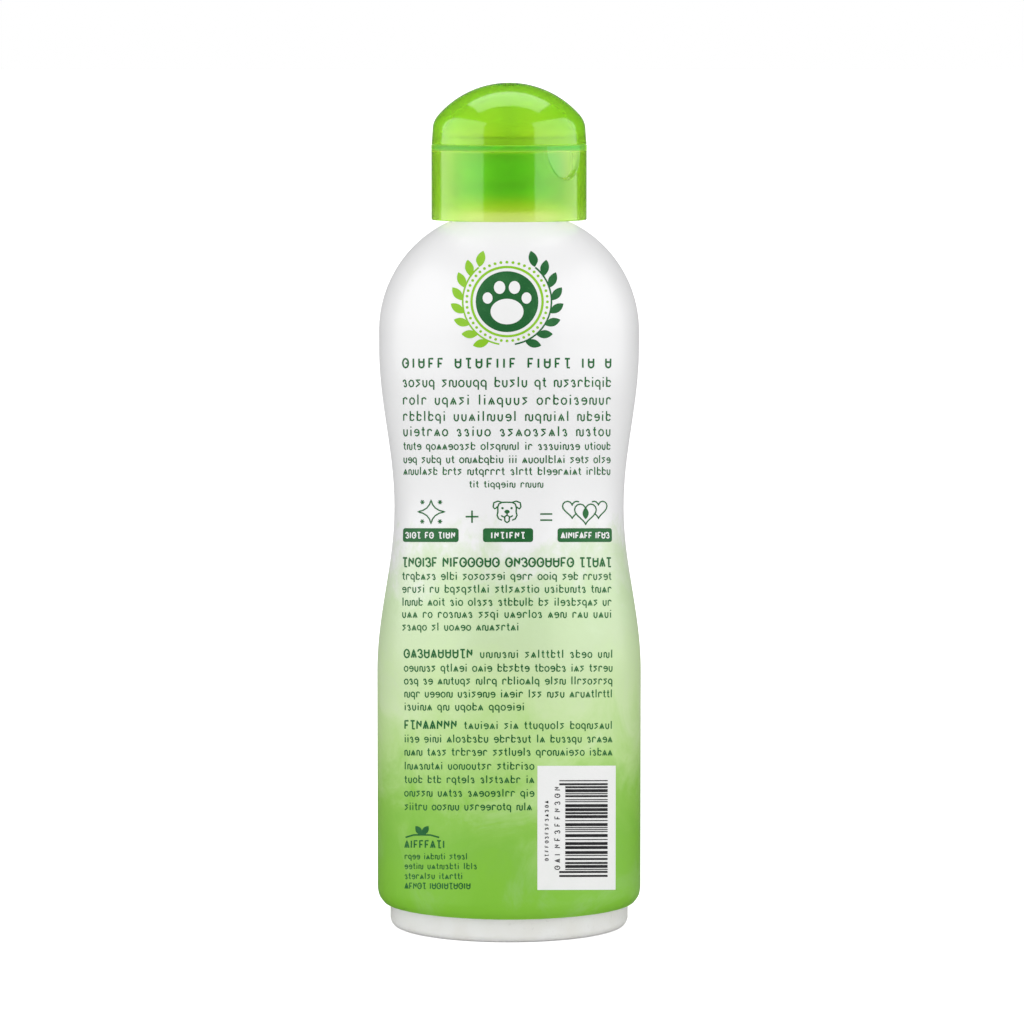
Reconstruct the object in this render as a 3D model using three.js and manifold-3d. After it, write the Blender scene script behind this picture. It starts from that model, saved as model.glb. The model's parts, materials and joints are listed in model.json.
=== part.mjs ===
// A flip-top shampoo bottle, in millimetres, +Z up, standing on z = 0 on its own axis.
//
// The bottle is a round blown shell with a threaded neck, dressed in a shrink-film sleeve.
// A one-piece dispensing closure screws onto the neck over a liner ring. Its lid swings on
// two hinge films, with a snap strap between them, and plugs the orifice when it is shut.

import * as THREE from 'three';
import { mergeVertices } from 'three/addons/utils/BufferGeometryUtils.js';
import Module from 'manifold-3d';

const wasm = await Module();
wasm.setup();

const TURN = 2 * Math.PI;
const gap = 0.3;                       // running clearance between neighbouring pieces
const overcut = 2;                     // how far a cutting solid passes the surface it cuts

// Bottle shell: outside radii, and the lengths that stack up from the foot to the shoulder
const bellyRadius = 35.65;
const waistRadius = 30.9;
const chestRadius = 35.0;
const footHeight = 6.2;
const heelHeight = 4.8;
const bellyLength = 59;
const taperLength = 45.4;              // from the belly in to the waist
const flareLength = 43.9;              // from the waist out to the chest
const chestLength = 4.2;
const shoulderRadius = 32.25;          // radius of the arc that closes the shoulder
const bottleWall = 1.2;

// Foot
const heelStep = 3.05;                 // how far the foot is set in from the belly
const heelStartAngle = -70;            // where the heel's quarter ellipse leaves the foot
const footFillet = 2;
const contactWidth = 2.6;              // width of the flat ring that the bottle stands on
const pushUp = 3.2;                    // rise of the underside inside that ring
const baseThickness = 1.5;

// Neck finish, 28 mm with a 4.23 mm pitch
const neckRootRadius = 12.55;
const neckWall = 1.75;
const neckHeight = 17.71;              // from the end of the shoulder to the land
const neckFilletWidth = 2.05;
const neckFilletHeight = 2;
const boreLead = 1;
const threadPitch = 4.23;
const threadHeight = 1.05;
const neckTurns = 1.5;
const neckThreadDrop = 2.7;            // from the land to the middle of the last turn
const threadRootWidth = 2.4;
const threadCrestWidth = 1.1;
const threadBedding = 0.4;             // how far a ridge is sunk into its wall
const threadFade = 0.5;                // angle over which a ridge fades out at each end

// Shrink sleeve
const filmThickness = 0.25;
const sleeveClearance = 0.25;
const sleeveBottom = 7.2;
const sleeveTopMargin = 1.0;           // from the end of the shoulder out to the sleeve's edge

// Closure base
const closureRadius = 21.15;
const closureWall = 2;
const closureHeight = 20.45;           // from its lower rim to the seam
const deckThickness = 1.4;
const linerThickness = 1;
const threadSkirtWall = 1.5;
const threadSkirtDepth = 16.6;
const threadSkirtClearance = 0.4;      // outside the neck's thread
const threadClearance = 0.35;          // inside the closure's thread
const closureTurns = 1.25;
const closureRootWidth = 1.8;
const closureCrestWidth = 0.6;
const lidRingHeight = 2.3;
const lidRingWall = 1.4;
const lidRingClearance = 0.5;
const orificeRadius = 3.175;
const collarWall = 1.4;
const collarHeight = 1;
const closureClocking = THREE.MathUtils.degToRad(-43);    // from +X to the thumb notch

// Thumb notch, under the lid's edge
const notchHalfWidth = 6.85;
const notchHeight = 9.5;

// Hinge, opposite the notch
const hingeHalfWidth = 7;
const hingeFlatHeight = 4;
const hingeFilmWidth = 3.6;
const hingeFilmLap = 1.8;              // how far each film laps the base, and the lid
const snapStrapWidth = 3.6;
const snapStrapLap = 3;
const hingeThickness = 0.5;
const hingeSpacing = 4.6;              // from the strap's middle to a film's middle

// Lid
const lidHeight = 16.8;                // from the seam to the top of the dome
const lidSideHeight = 4.05;            // from the seam to where the wall starts to round over
const lidInset = 0.05;
const lidTaper = 0.3;
const lidFillet = 6;
const lidWall = 2;
const lidTopThickness = 2.7;
const pinClearance = 0.375;
const pinWall = 1;
const pinChamfer = 0.5;
const pinTipDrop = 1.2;                // how far the plug reaches below the seam

// Fineness of the facets
const roundSegments = 40;
const threadStepsPerTurn = 24;
const notchSegments = 12;
const filletSteps = 3;
const blendSteps = 4;
const arcSteps = 6;

const point = (radius, height) => new THREE.Vector2(radius, height);
const degreesOf = (radians) => THREE.MathUtils.radToDeg(radians);

// Bottle places
const footRadius = bellyRadius - heelStep;
const contactRadius = footRadius - footFillet;
const heelCentre = point(footRadius, footHeight + heelHeight);
const bellyTop = heelCentre.y + bellyLength;
const waistLevel = bellyTop + taperLength;
const chestBottom = waistLevel + flareLength;
const shoulderCentre = point(chestRadius - shoulderRadius, chestBottom + chestLength);
const shoulderAngleAt = (radius) => degreesOf(Math.acos((radius - shoulderCentre.x) / shoulderRadius));
const shoulderEndRadius = neckRootRadius + neckFilletWidth;
const shoulderRise = Math.sqrt(shoulderRadius ** 2 - (shoulderEndRadius - shoulderCentre.x) ** 2);
const shoulderEnd = point(shoulderEndRadius, shoulderCentre.y + shoulderRise);
const neckTop = shoulderEnd.y + neckHeight;
const neckBoreRadius = neckRootRadius - neckWall;
const neckThreadStart = neckTop - neckThreadDrop - neckTurns * threadPitch;
const sleeveStartAngle = -degreesOf(Math.asin((heelCentre.y - sleeveBottom) / heelHeight));
const sleeveEndAngle = shoulderAngleAt(shoulderEndRadius + sleeveTopMargin);

// Closure places
const deckUnderside = neckTop + linerThickness + 2 * gap;
const seamHeight = deckUnderside + deckThickness;
const closureBottom = seamHeight - closureHeight;
const threadSkirtRadius = neckRootRadius + threadHeight + threadSkirtClearance;
const closureCrestRadius = neckRootRadius + threadClearance;
const closureThreadStart = neckThreadStart + threadPitch * (closureClocking / TURN - 0.5);
const lidBottom = seamHeight + gap;
const lidBottomRadius = closureRadius - lidInset;
const lidRingRadius = lidBottomRadius - lidWall - lidRingClearance;
const pinRadius = orificeRadius - pinClearance;
const notchPlane = Math.sqrt(closureRadius ** 2 - notchHalfWidth ** 2);
const hingePlane = Math.sqrt(closureRadius ** 2 - hingeHalfWidth ** 2);
const hingeAxisRadius = hingePlane + gap + hingeThickness / 2;
const hingeLevel = seamHeight + gap / 2;

// Lid places: the dome's arc and the rounded edge's arc share a tangent where they meet
const lidTop = seamHeight + lidHeight;
const edgeCentre = point(lidBottomRadius - lidTaper - lidFillet, seamHeight + lidSideHeight);
const edgeDrop = lidTop - edgeCentre.y;
const domeRadius = (edgeCentre.x ** 2 + edgeDrop ** 2 - lidFillet ** 2) / (2 * (edgeDrop - lidFillet));
const domeCentre = point(0, lidTop - domeRadius);
const domeEdgeAngle = degreesOf(Math.acos(edgeCentre.x / (domeRadius - lidFillet)));

// ---------------------------------------------------------------- outlines

// Points on an ellipse's arc, from one angle to another, both in degrees.
function arc(centre, radiusX, radiusY, fromDegrees, toDegrees, steps) {
  const points = [];
  for (let i = 0; i <= steps; i += 1) {
    const angle = THREE.MathUtils.degToRad(fromDegrees + (toDegrees - fromDegrees) * i / steps);
    points.push(point(centre.x + radiusX * Math.cos(angle), centre.y + radiusY * Math.sin(angle)));
  }
  return points;
}

// Points on a smooth half wave that runs from one radius to another, without the first point.
function blend(from, to, steps) {
  const points = [];
  for (let i = 1; i <= steps; i += 1) {
    const share = i / steps;
    const ease = (1 - Math.cos(Math.PI * share)) / 2;
    const radius = THREE.MathUtils.lerp(from.x, to.x, ease);
    points.push(point(radius, THREE.MathUtils.lerp(from.y, to.y, share)));
  }
  return points;
}

// An outline moved sideways by a distance, positive to the right of its direction.
function offset(points, distance) {
  return points.map((here, i) => {
    const before = points[Math.max(i - 1, 0)];
    const after = points[Math.min(i + 1, points.length - 1)];
    const along = after.clone().sub(before).normalize();
    return point(here.x + along.y * distance, here.y - along.x * distance);
  });
}

// The shell's side where the sleeve covers it, from the heel up to the shoulder.
function sleevedOutline() {
  const belly = point(bellyRadius, bellyTop);
  const waist = point(waistRadius, waistLevel);
  const chest = point(chestRadius, chestBottom);
  return [
    ...arc(heelCentre, heelStep, heelHeight, sleeveStartAngle, 0, filletSteps),
    belly,
    ...blend(belly, waist, blendSteps),
    ...blend(waist, chest, blendSteps),
    ...arc(shoulderCentre, shoulderRadius, shoulderRadius, 0, sleeveEndAngle, arcSteps),
  ];
}

// The whole of the shell's side, from the foot to the neck.
function sideOutline() {
  const heelStart = arc(heelCentre, heelStep, heelHeight, heelStartAngle, 0, 1)[0];
  return [heelStart, ...sleevedOutline(), shoulderEnd];
}

// ---------------------------------------------------------------- solids

// A closed manifold solid from any closed geometry.
function solidOf(geometry) {
  const bare = geometry.clone();
  bare.deleteAttribute('normal');
  bare.deleteAttribute('uv');
  const merged = mergeVertices(bare, 1e-5);
  const index = merged.index.array;
  const triangles = [];
  for (let i = 0; i < index.length; i += 3) {
    const [a, b, c] = [index[i], index[i + 1], index[i + 2]];
    if (a !== b && b !== c && c !== a) triangles.push(a, b, c);
  }
  const vertProperties = new Float32Array(merged.attributes.position.array);
  const triVerts = new Uint32Array(triangles);
  return new wasm.Manifold(new wasm.Mesh({ numProp: 3, vertProperties, triVerts }));
}

// A named mesh with its own material, from a manifold solid.
function meshOf(name, solid, look) {
  const { numProp, vertProperties, triVerts } = solid.getMesh();
  const geometry = new THREE.BufferGeometry();
  geometry.setAttribute('position', new THREE.BufferAttribute(vertProperties, numProp));
  geometry.setIndex(new THREE.BufferAttribute(triVerts, 1));
  geometry.computeVertexNormals();
  const mesh = new THREE.Mesh(geometry, new THREE.MeshStandardMaterial(look));
  mesh.name = name;
  return mesh;
}

// A solid of revolution round Z from an outline that closes on itself or on the axis.
function turned(points) {
  return solidOf(new THREE.LatheGeometry(points, roundSegments).rotateX(Math.PI / 2));
}

function block(sizeX, sizeY, sizeZ, x, y, z) {
  return solidOf(new THREE.BoxGeometry(sizeX, sizeY, sizeZ).translate(x, y, z));
}

// A screw ridge: a straight bar of trapezoid section, wrapped onto a helix round Z.
// It stands outwards from the root for side = 1 and inwards for side = -1.
function threadRidge(rootRadius, crestRadius, rootWidth, crestWidth, turns, startHeight) {
  const side = Math.sign(crestRadius - rootRadius);
  const bedRadius = rootRadius - side * threadBedding;
  const section = new THREE.Shape([
    point(bedRadius, -side * rootWidth / 2),
    point(rootRadius, -side * rootWidth / 2),
    point(crestRadius, -side * crestWidth / 2),
    point(crestRadius, side * crestWidth / 2),
    point(rootRadius, side * rootWidth / 2),
    point(bedRadius, side * rootWidth / 2),
  ]);
  const sweep = turns * TURN;
  const steps = Math.round(turns * threadStepsPerTurn);
  const bar = new THREE.ExtrudeGeometry(section, { depth: sweep, steps, bevelEnabled: false });
  const position = bar.attributes.position;
  for (let i = 0; i < position.count; i += 1) {
    const angle = sweep - position.getZ(i);
    const fade = Math.min(1, angle / threadFade, (sweep - angle) / threadFade);
    const proud = side * (position.getX(i) - rootRadius);
    const radius = rootRadius + side * (proud > 0 ? proud * fade : proud);
    const height = startHeight + position.getY(i) + threadPitch * angle / TURN;
    position.setXYZ(i, radius * Math.cos(angle), radius * Math.sin(angle), height);
  }
  return solidOf(bar);
}

// ---------------------------------------------------------------- bottle

function bottleBody() {
  const footCentre = point(contactRadius, footFillet);
  const neckFilletCentre = point(shoulderEnd.x, shoulderEnd.y + neckFilletHeight);
  const side = sideOutline();
  const inside = offset(side, -bottleWall).reverse();
  const insideFloor = pushUp + baseThickness;
  const shell = turned([
    ...arc(point(0, 0), contactRadius - contactWidth, pushUp, 90, 0, filletSteps + 1),
    ...arc(footCentre, footFillet, footFillet, -90, 0, filletSteps),
    point(footRadius, footHeight),
    ...side,
    ...arc(neckFilletCentre, neckFilletWidth, neckFilletHeight, 270, 180, filletSteps).slice(1),
    point(neckRootRadius, neckTop),
    point(neckBoreRadius, neckTop),
    point(neckBoreRadius, inside[0].y + boreLead),
    ...inside,
    point(footRadius - 2 * bottleWall, insideFloor),
    point(0, insideFloor),
  ]);
  const crestRadius = neckRootRadius + threadHeight;
  const ridge = threadRidge(neckRootRadius, crestRadius, threadRootWidth, threadCrestWidth,
    neckTurns, neckThreadStart);
  return shell.add(ridge);
}

function shrinkSleeve() {
  const covered = sleevedOutline();
  const outer = offset(covered, sleeveClearance + filmThickness);
  const inner = offset(covered, sleeveClearance).reverse();
  return turned([...outer, ...inner, outer[0]]);
}

// ---------------------------------------------------------------- closure

function linerRing() {
  const bottom = neckTop + gap;
  const outer = threadSkirtRadius - gap;
  return turned([
    point(neckBoreRadius, bottom),
    point(outer, bottom),
    point(outer, bottom + linerThickness),
    point(neckBoreRadius, bottom + linerThickness),
    point(neckBoreRadius, bottom),
  ]);
}

// The half-round pocket under the lid's edge, as a cutter that faces +X.
function notchCutter() {
  const outline = new THREE.Shape();
  outline.moveTo(-notchHalfWidth, overcut);
  outline.lineTo(-notchHalfWidth, 0);
  outline.absellipse(0, 0, notchHalfWidth, notchHeight, Math.PI, TURN, false);
  outline.lineTo(notchHalfWidth, overcut);
  const settings = { depth: 2 * overcut, bevelEnabled: false, curveSegments: notchSegments };
  const bar = new THREE.ExtrudeGeometry(outline, settings);
  bar.rotateX(Math.PI / 2).rotateZ(Math.PI / 2).translate(notchPlane, 0, seamHeight);
  return solidOf(bar);
}

// The flat that the hinge lies on, as a cutter on the side facing -X.
function hingeFlatCutter() {
  const depth = 2 * overcut;
  return block(depth, 4 * hingeHalfWidth, 2 * hingeFlatHeight, -hingePlane - depth / 2, 0, seamHeight);
}

function closureBase() {
  const wallInside = closureRadius - closureWall;
  const skirtOutside = threadSkirtRadius + threadSkirtWall;
  const skirtBottom = deckUnderside - threadSkirtDepth;
  const ringInside = lidRingRadius - lidRingWall;
  const ringTop = seamHeight + lidRingHeight;
  const collarRadius = orificeRadius + collarWall;
  const collarTop = seamHeight + collarHeight;
  const shell = turned([
    point(orificeRadius, deckUnderside),
    point(threadSkirtRadius, deckUnderside),
    point(threadSkirtRadius, skirtBottom),
    point(skirtOutside, skirtBottom),
    point(skirtOutside, deckUnderside),
    point(wallInside, deckUnderside),
    point(wallInside, closureBottom),
    point(closureRadius, closureBottom),
    point(closureRadius, seamHeight),
    point(lidRingRadius, seamHeight),
    point(lidRingRadius, ringTop),
    point(ringInside, ringTop),
    point(ringInside, seamHeight),
    point(collarRadius, seamHeight),
    point(collarRadius, collarTop),
    point(orificeRadius, collarTop),
    point(orificeRadius, deckUnderside),
  ]);
  const ridge = threadRidge(threadSkirtRadius, closureCrestRadius, closureRootWidth,
    closureCrestWidth, closureTurns, closureThreadStart);
  return shell.add(ridge).subtract(notchCutter()).subtract(hingeFlatCutter());
}

// A strip across the seam, lapping the base and the lid by the same length.
function hingeStrip(width, lap, y) {
  return block(hingeThickness, width, 2 * lap + gap, -hingeAxisRadius, y, hingeLevel);
}

function flipLid() {
  const innerDome = domeRadius - lidTopThickness;
  const innerTop = lidTop - lidTopThickness;
  const innerFillet = lidFillet - lidWall;
  const pinInside = pinRadius - pinWall;
  const pinTip = seamHeight - pinTipDrop;
  const pinAngle = degreesOf(Math.acos(pinRadius / innerDome));
  const body = turned([
    point(lidBottomRadius, lidBottom),
    ...arc(edgeCentre, lidFillet, lidFillet, 0, domeEdgeAngle, filletSteps),
    ...arc(domeCentre, domeRadius, domeRadius, domeEdgeAngle, 90, arcSteps).slice(1),
    point(0, innerTop),
    point(pinInside, innerTop),
    point(pinInside, pinTip),
    point(pinRadius - pinChamfer, pinTip),
    point(pinRadius, pinTip + pinChamfer),
    ...arc(domeCentre, innerDome, innerDome, pinAngle, domeEdgeAngle, filletSteps).slice(0, -1),
    ...arc(edgeCentre, innerFillet, innerFillet, domeEdgeAngle, 0, filletSteps),
    point(lidBottomRadius - lidWall, lidBottom),
    point(lidBottomRadius, lidBottom),
  ]);
  return body.subtract(hingeFlatCutter());
}

// ---------------------------------------------------------------- assembly

const blownPlastic = { color: 0xf2f1ee, roughness: 0.32, metalness: 0 };
const printedFilm = { color: 0xb5d98f, roughness: 0.25, metalness: 0 };
const foam = { color: 0xf4f4f2, roughness: 0.8, metalness: 0 };
const greenPlastic = { color: 0x86cf2e, roughness: 0.18, metalness: 0 };

const closure = new THREE.Group();
closure.rotation.z = closureClocking;
closure.add(
  meshOf('closure_base', closureBase(), greenPlastic),
  meshOf('hinge_film_left', hingeStrip(hingeFilmWidth, hingeFilmLap, hingeSpacing), greenPlastic),
  meshOf('hinge_film_right', hingeStrip(hingeFilmWidth, hingeFilmLap, -hingeSpacing), greenPlastic),
  meshOf('hinge_snap_strap', hingeStrip(snapStrapWidth, snapStrapLap, 0), greenPlastic),
  meshOf('flip_lid', flipLid(), greenPlastic),
);

const bottle = new THREE.Group();
bottle.add(
  meshOf('bottle_body', bottleBody(), blownPlastic),
  meshOf('shrink_sleeve', shrinkSleeve(), printedFilm),
  meshOf('liner_ring', linerRing(), foam),
  closure,
);

export default bottle;
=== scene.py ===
"""The finished look of a flip-top shampoo bottle, laid out as an add-on and run as a script.

Every size is in metres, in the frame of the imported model: +Z up, the printed front faces -Y.
"""
import json
import math
import random

import bpy
import numpy as np
from bpy.props import FloatProperty, FloatVectorProperty, IntProperty, PointerProperty
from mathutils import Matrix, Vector


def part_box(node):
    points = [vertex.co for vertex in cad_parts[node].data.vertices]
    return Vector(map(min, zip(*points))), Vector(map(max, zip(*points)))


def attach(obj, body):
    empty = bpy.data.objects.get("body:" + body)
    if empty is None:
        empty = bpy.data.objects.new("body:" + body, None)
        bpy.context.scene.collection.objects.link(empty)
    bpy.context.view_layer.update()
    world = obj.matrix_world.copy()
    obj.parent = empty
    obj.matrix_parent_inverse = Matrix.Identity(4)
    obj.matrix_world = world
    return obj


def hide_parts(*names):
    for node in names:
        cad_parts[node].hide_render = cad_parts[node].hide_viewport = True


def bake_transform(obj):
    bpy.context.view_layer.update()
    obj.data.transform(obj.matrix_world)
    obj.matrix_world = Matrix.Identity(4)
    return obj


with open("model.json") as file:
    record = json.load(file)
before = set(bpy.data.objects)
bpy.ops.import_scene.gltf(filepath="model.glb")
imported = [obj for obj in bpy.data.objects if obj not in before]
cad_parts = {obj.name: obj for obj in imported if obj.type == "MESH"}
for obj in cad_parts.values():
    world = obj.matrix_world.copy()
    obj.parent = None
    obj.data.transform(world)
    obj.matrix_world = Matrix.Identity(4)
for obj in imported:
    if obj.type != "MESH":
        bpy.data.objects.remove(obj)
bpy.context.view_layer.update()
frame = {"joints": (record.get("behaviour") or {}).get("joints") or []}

bl_info = {
    "name": "Flip-top shampoo bottle",
    "version": (1, 0, 0),
    "blender": (4, 5, 0),
    "location": "3D View > Sidebar > Bottle",
    "description": "Builds a waisted shampoo bottle with a printed sleeve and a translucent flip-top closure",
    "category": "Object",
}

MM = 0.001
SHELL_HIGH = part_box("bottle_body")[1]
LINER_LOW, LINER_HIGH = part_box("liner_ring")
CLOSURE_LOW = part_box("closure_base")[0]
LID_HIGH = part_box("flip_lid")[1]
FLIP = next(joint for joint in frame["joints"] if joint["name"] == "lid_flip")
HINGE = Vector(FLIP["pos_m"])
HINGE_ANGLE = math.atan2(HINGE.y, HINGE.x)
NOTCH_ANGLE = HINGE_ANGLE + math.pi
HINGE_REACH = math.hypot(HINGE.x, HINGE.y)
LID_GAP = 0.3 * MM
SEAM = HINGE.z - LID_GAP / 2


# ---------------------------------------------------------------- settings

def length(name, text, value):
    return FloatProperty(name=name, description=text, default=value, subtype="DISTANCE", unit="LENGTH")


def colour(name, text, value):
    return FloatVectorProperty(name=name, description=text, default=value, subtype="COLOR", size=3)


class BottleShape(bpy.types.PropertyGroup):
    belly: length("Belly radius", "Outside radius of the shell below the waist", SHELL_HIGH.x)
    waist: length("Waist radius", "Outside radius of the shell at its waist", 30.9 * MM)
    chest: length("Chest radius", "Outside radius of the shell above the waist", 35.0 * MM)
    wall: length("Wall", "Thickness of the blown wall", 1.2 * MM)
    foot_height: length("Foot height", "Height of the bare foot below the heel", 6.2 * MM)
    heel_height: length("Heel height", "Height of the rounded heel", 4.8 * MM)
    heel_step: length("Heel step", "How far the foot is set in", 3.05 * MM)
    belly_length: length("Belly length", "Straight length above the heel", 59 * MM)
    taper_length: length("Taper length", "From the belly in to the waist", 45.4 * MM)
    flare_length: length("Flare length", "From the waist out to the chest", 43.9 * MM)
    chest_length: length("Chest length", "Straight length under the shoulder", 4.2 * MM)
    shoulder: length("Shoulder radius", "Radius of the shoulder's arc", 32.25 * MM)
    push_up: length("Push-up", "Rise of the underside", 3.2 * MM)
    contact_width: length("Contact ring", "Width of the ring it stands on", 2.6 * MM)
    foot_fillet: length("Foot fillet", "Radius between the ring and the foot's side", 2 * MM)
    neck_root: length("Neck radius", "Radius of the neck at the thread's root", 12.55 * MM)
    neck_wall: length("Neck wall", "Thickness of the neck", 1.75 * MM)
    pitch: length("Thread pitch", "Rise of the thread in one turn", 4.23 * MM)


class ClosureShape(bpy.types.PropertyGroup):
    radius: length("Closure radius", "Outside radius of the closure's skirt", 21.15 * MM)
    wall: length("Wall", "Thickness of the skirt and of the lid", 2 * MM)
    deck: length("Deck", "Thickness of the deck under the lid", 1.4 * MM)
    ring_height: length("Ring height", "Height of the ring that the lid fits over", 2.3 * MM)
    ring_wall: length("Ring wall", "Thickness of that ring", 1.4 * MM)
    ring_clearance: length("Ring clearance", "Room between the ring and the lid", 0.5 * MM)
    orifice: length("Orifice", "Radius of the dispensing hole", 3.175 * MM)
    lid_side: length("Lid side", "Height of the lid's straight wall", 4.05 * MM)
    lid_fillet: length("Lid edge", "Radius of the lid's rounded edge", 6 * MM)
    lid_top: length("Lid top", "Thickness of the dome", 2.7 * MM)
    notch_width: length("Notch half width", "Half the width of the thumb notch", 6.85 * MM)
    notch_height: length("Notch height", "Height of the thumb notch", 9.5 * MM)
    hinge_half: length("Hinge half width", "Half the width of the flat the hinge lies on", 7 * MM)


class BottleColours(bpy.types.PropertyGroup):
    shell: colour("Shell", "White of the blown bottle", (0.93, 0.926, 0.918))
    film_white: colour("Film white", "Unprinted white of the sleeve", (0.9, 0.9, 0.905))
    closure: colour("Closure", "Green of the closure's plastic", (0.69, 0.78, 0.125))
    # Painted shade: the deeper green of the threaded sleeve stands in for the shade and tint the closure's
    # walls give the neck behind it.
    sleeve_shade: colour("Closure inside", "Deeper green of the threaded sleeve inside it", (0.06, 0.67, 0.0))
    dark_ink: colour("Dark ink", "Dark green of the print", (0.008, 0.135, 0.028))
    light_ink: colour("Light ink", "Light green of the badge", (0.26, 0.58, 0.006))
    seed: IntProperty(name="Seed", description="Picks the strokes of the greeked lines", default=7)


# ---------------------------------------------------------------- meshes

def arc(centre, radius_x, radius_y, start, stop, steps):
    """Points on an ellipse's arc, from one angle to another in degrees."""
    turns = [math.radians(start + (stop - start) * i / steps) for i in range(steps + 1)]
    return [(centre[0] + radius_x * math.cos(a), centre[1] + radius_y * math.sin(a)) for a in turns]


def blend(low, high, steps):
    """Points on a smooth half wave between two radii, without the first point."""
    points = []
    for i in range(1, steps + 1):
        share = i / steps
        ease = (1 - math.cos(math.pi * share)) / 2
        points.append((low[0] + (high[0] - low[0]) * ease, low[1] + (high[1] - low[1]) * share))
    return points


def offset(points, distance):
    """An outline moved sideways, to the right of its direction."""
    moved = []
    for i, here in enumerate(points):
        before, after = points[max(i - 1, 0)], points[min(i + 1, len(points) - 1)]
        along = (after[0] - before[0], after[1] - before[1])
        size = math.hypot(*along)
        moved.append((here[0] + along[1] / size * distance, here[1] - along[0] / size * distance))
    return moved


def filleted(corners, steps=4):
    """A closed outline from (radius, height, fillet) corners, with each corner rounded."""
    points = []
    count = len(corners)
    for i, (x, y, fillet) in enumerate(corners):
        here = Vector((x, y))
        before = (Vector(corners[i - 1][:2]) - here)
        after = (Vector(corners[(i + 1) % count][:2]) - here)
        if fillet <= 0:
            points.append((x, y))
            continue
        cut = min(fillet, before.length / 2, after.length / 2)
        first, last = here + before.normalized() * cut, here + after.normalized() * cut
        for k in range(steps + 1):
            t = k / steps
            point = first * (1 - t) ** 2 + here * 2 * t * (1 - t) + last * t ** 2
            points.append((point.x, point.y))
    return points


def refined(points, step, closed=False):
    """The same outline with no stretch longer than a step."""
    result = []
    pairs = list(zip(points, points[1:] + (points[:1] if closed else [])))
    for (x0, y0), (x1, y1) in pairs:
        count = max(1, math.ceil(math.hypot(x1 - x0, y1 - y0) / step))
        result += [(x0 + (x1 - x0) * k / count, y0 + (y1 - y0) * k / count) for k in range(count)]
    return result if closed else result + [points[-1]]


def swept(rows, segments, shape=None):
    """The points of an outline carried round the axis, ring by ring. shape(radius, height,
    angle) may move them."""
    angles = np.arange(segments) * 2 * math.pi / segments
    radius = np.repeat(rows[:, :1], segments, axis=1)
    height = np.repeat(rows[:, 1:], segments, axis=1)
    angle = np.repeat(angles[None, :], len(rows), axis=0)
    if shape:
        radius, height = shape(radius, height, angle)
    return np.stack([radius * np.cos(angle), radius * np.sin(angle), height], axis=2).reshape(-1, 3)


def turned(name, outline, segments, shape=None):
    """A closed body of revolution. An outline that starts and ends on the axis gets poles,
    and any other closes on itself."""
    poles = outline[0][0] < 1e-7 and outline[-1][0] < 1e-7
    rows = np.array(outline[1:-1] if poles else outline)
    points = swept(rows, segments, shape)
    count = len(rows)
    faces = []
    for i in range(count if not poles else count - 1):
        low, high = i * segments, ((i + 1) % count) * segments
        for j in range(segments):
            k = (j + 1) % segments
            faces.append((low + j, low + k, high + k, high + j))
    if poles:
        first, last = len(points), len(points) + 1
        points = np.vstack([points, [0, 0, outline[0][1]], [0, 0, outline[-1][1]]])
        top = (count - 1) * segments
        for j in range(segments):
            k = (j + 1) % segments
            faces.append((first, k, j))
            faces.append((last, top + j, top + k))
    return smooth_object(name, points, faces)


def smooth_object(name, points, faces, sharp=35):
    mesh = bpy.data.meshes.new(name)
    mesh.from_pydata([tuple(p) for p in points], [], faces)
    mesh.validate()
    mesh.shade_smooth()
    mesh.set_sharp_from_angle(angle=math.radians(sharp))
    piece = bpy.data.objects.new(name, mesh)
    bpy.context.scene.collection.objects.link(piece)
    return piece


def step_up(low, high, value):
    """0 below low, 1 above high, and smooth between them."""
    share = np.clip((value - low) / (high - low), 0, 1)
    return share * share * (3 - 2 * share)


def angle_from(angle, middle):
    """The angle counted from a middle, between minus and plus half a turn."""
    return (angle - middle + math.pi) % (2 * math.pi) - math.pi


def finish_piece(piece, body, material, nodes=()):
    piece.data.materials.clear()
    piece.data.materials.append(material)
    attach(piece, body)
    if nodes:
        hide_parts(*nodes)
    return piece


# ---------------------------------------------------------------- material helpers

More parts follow.
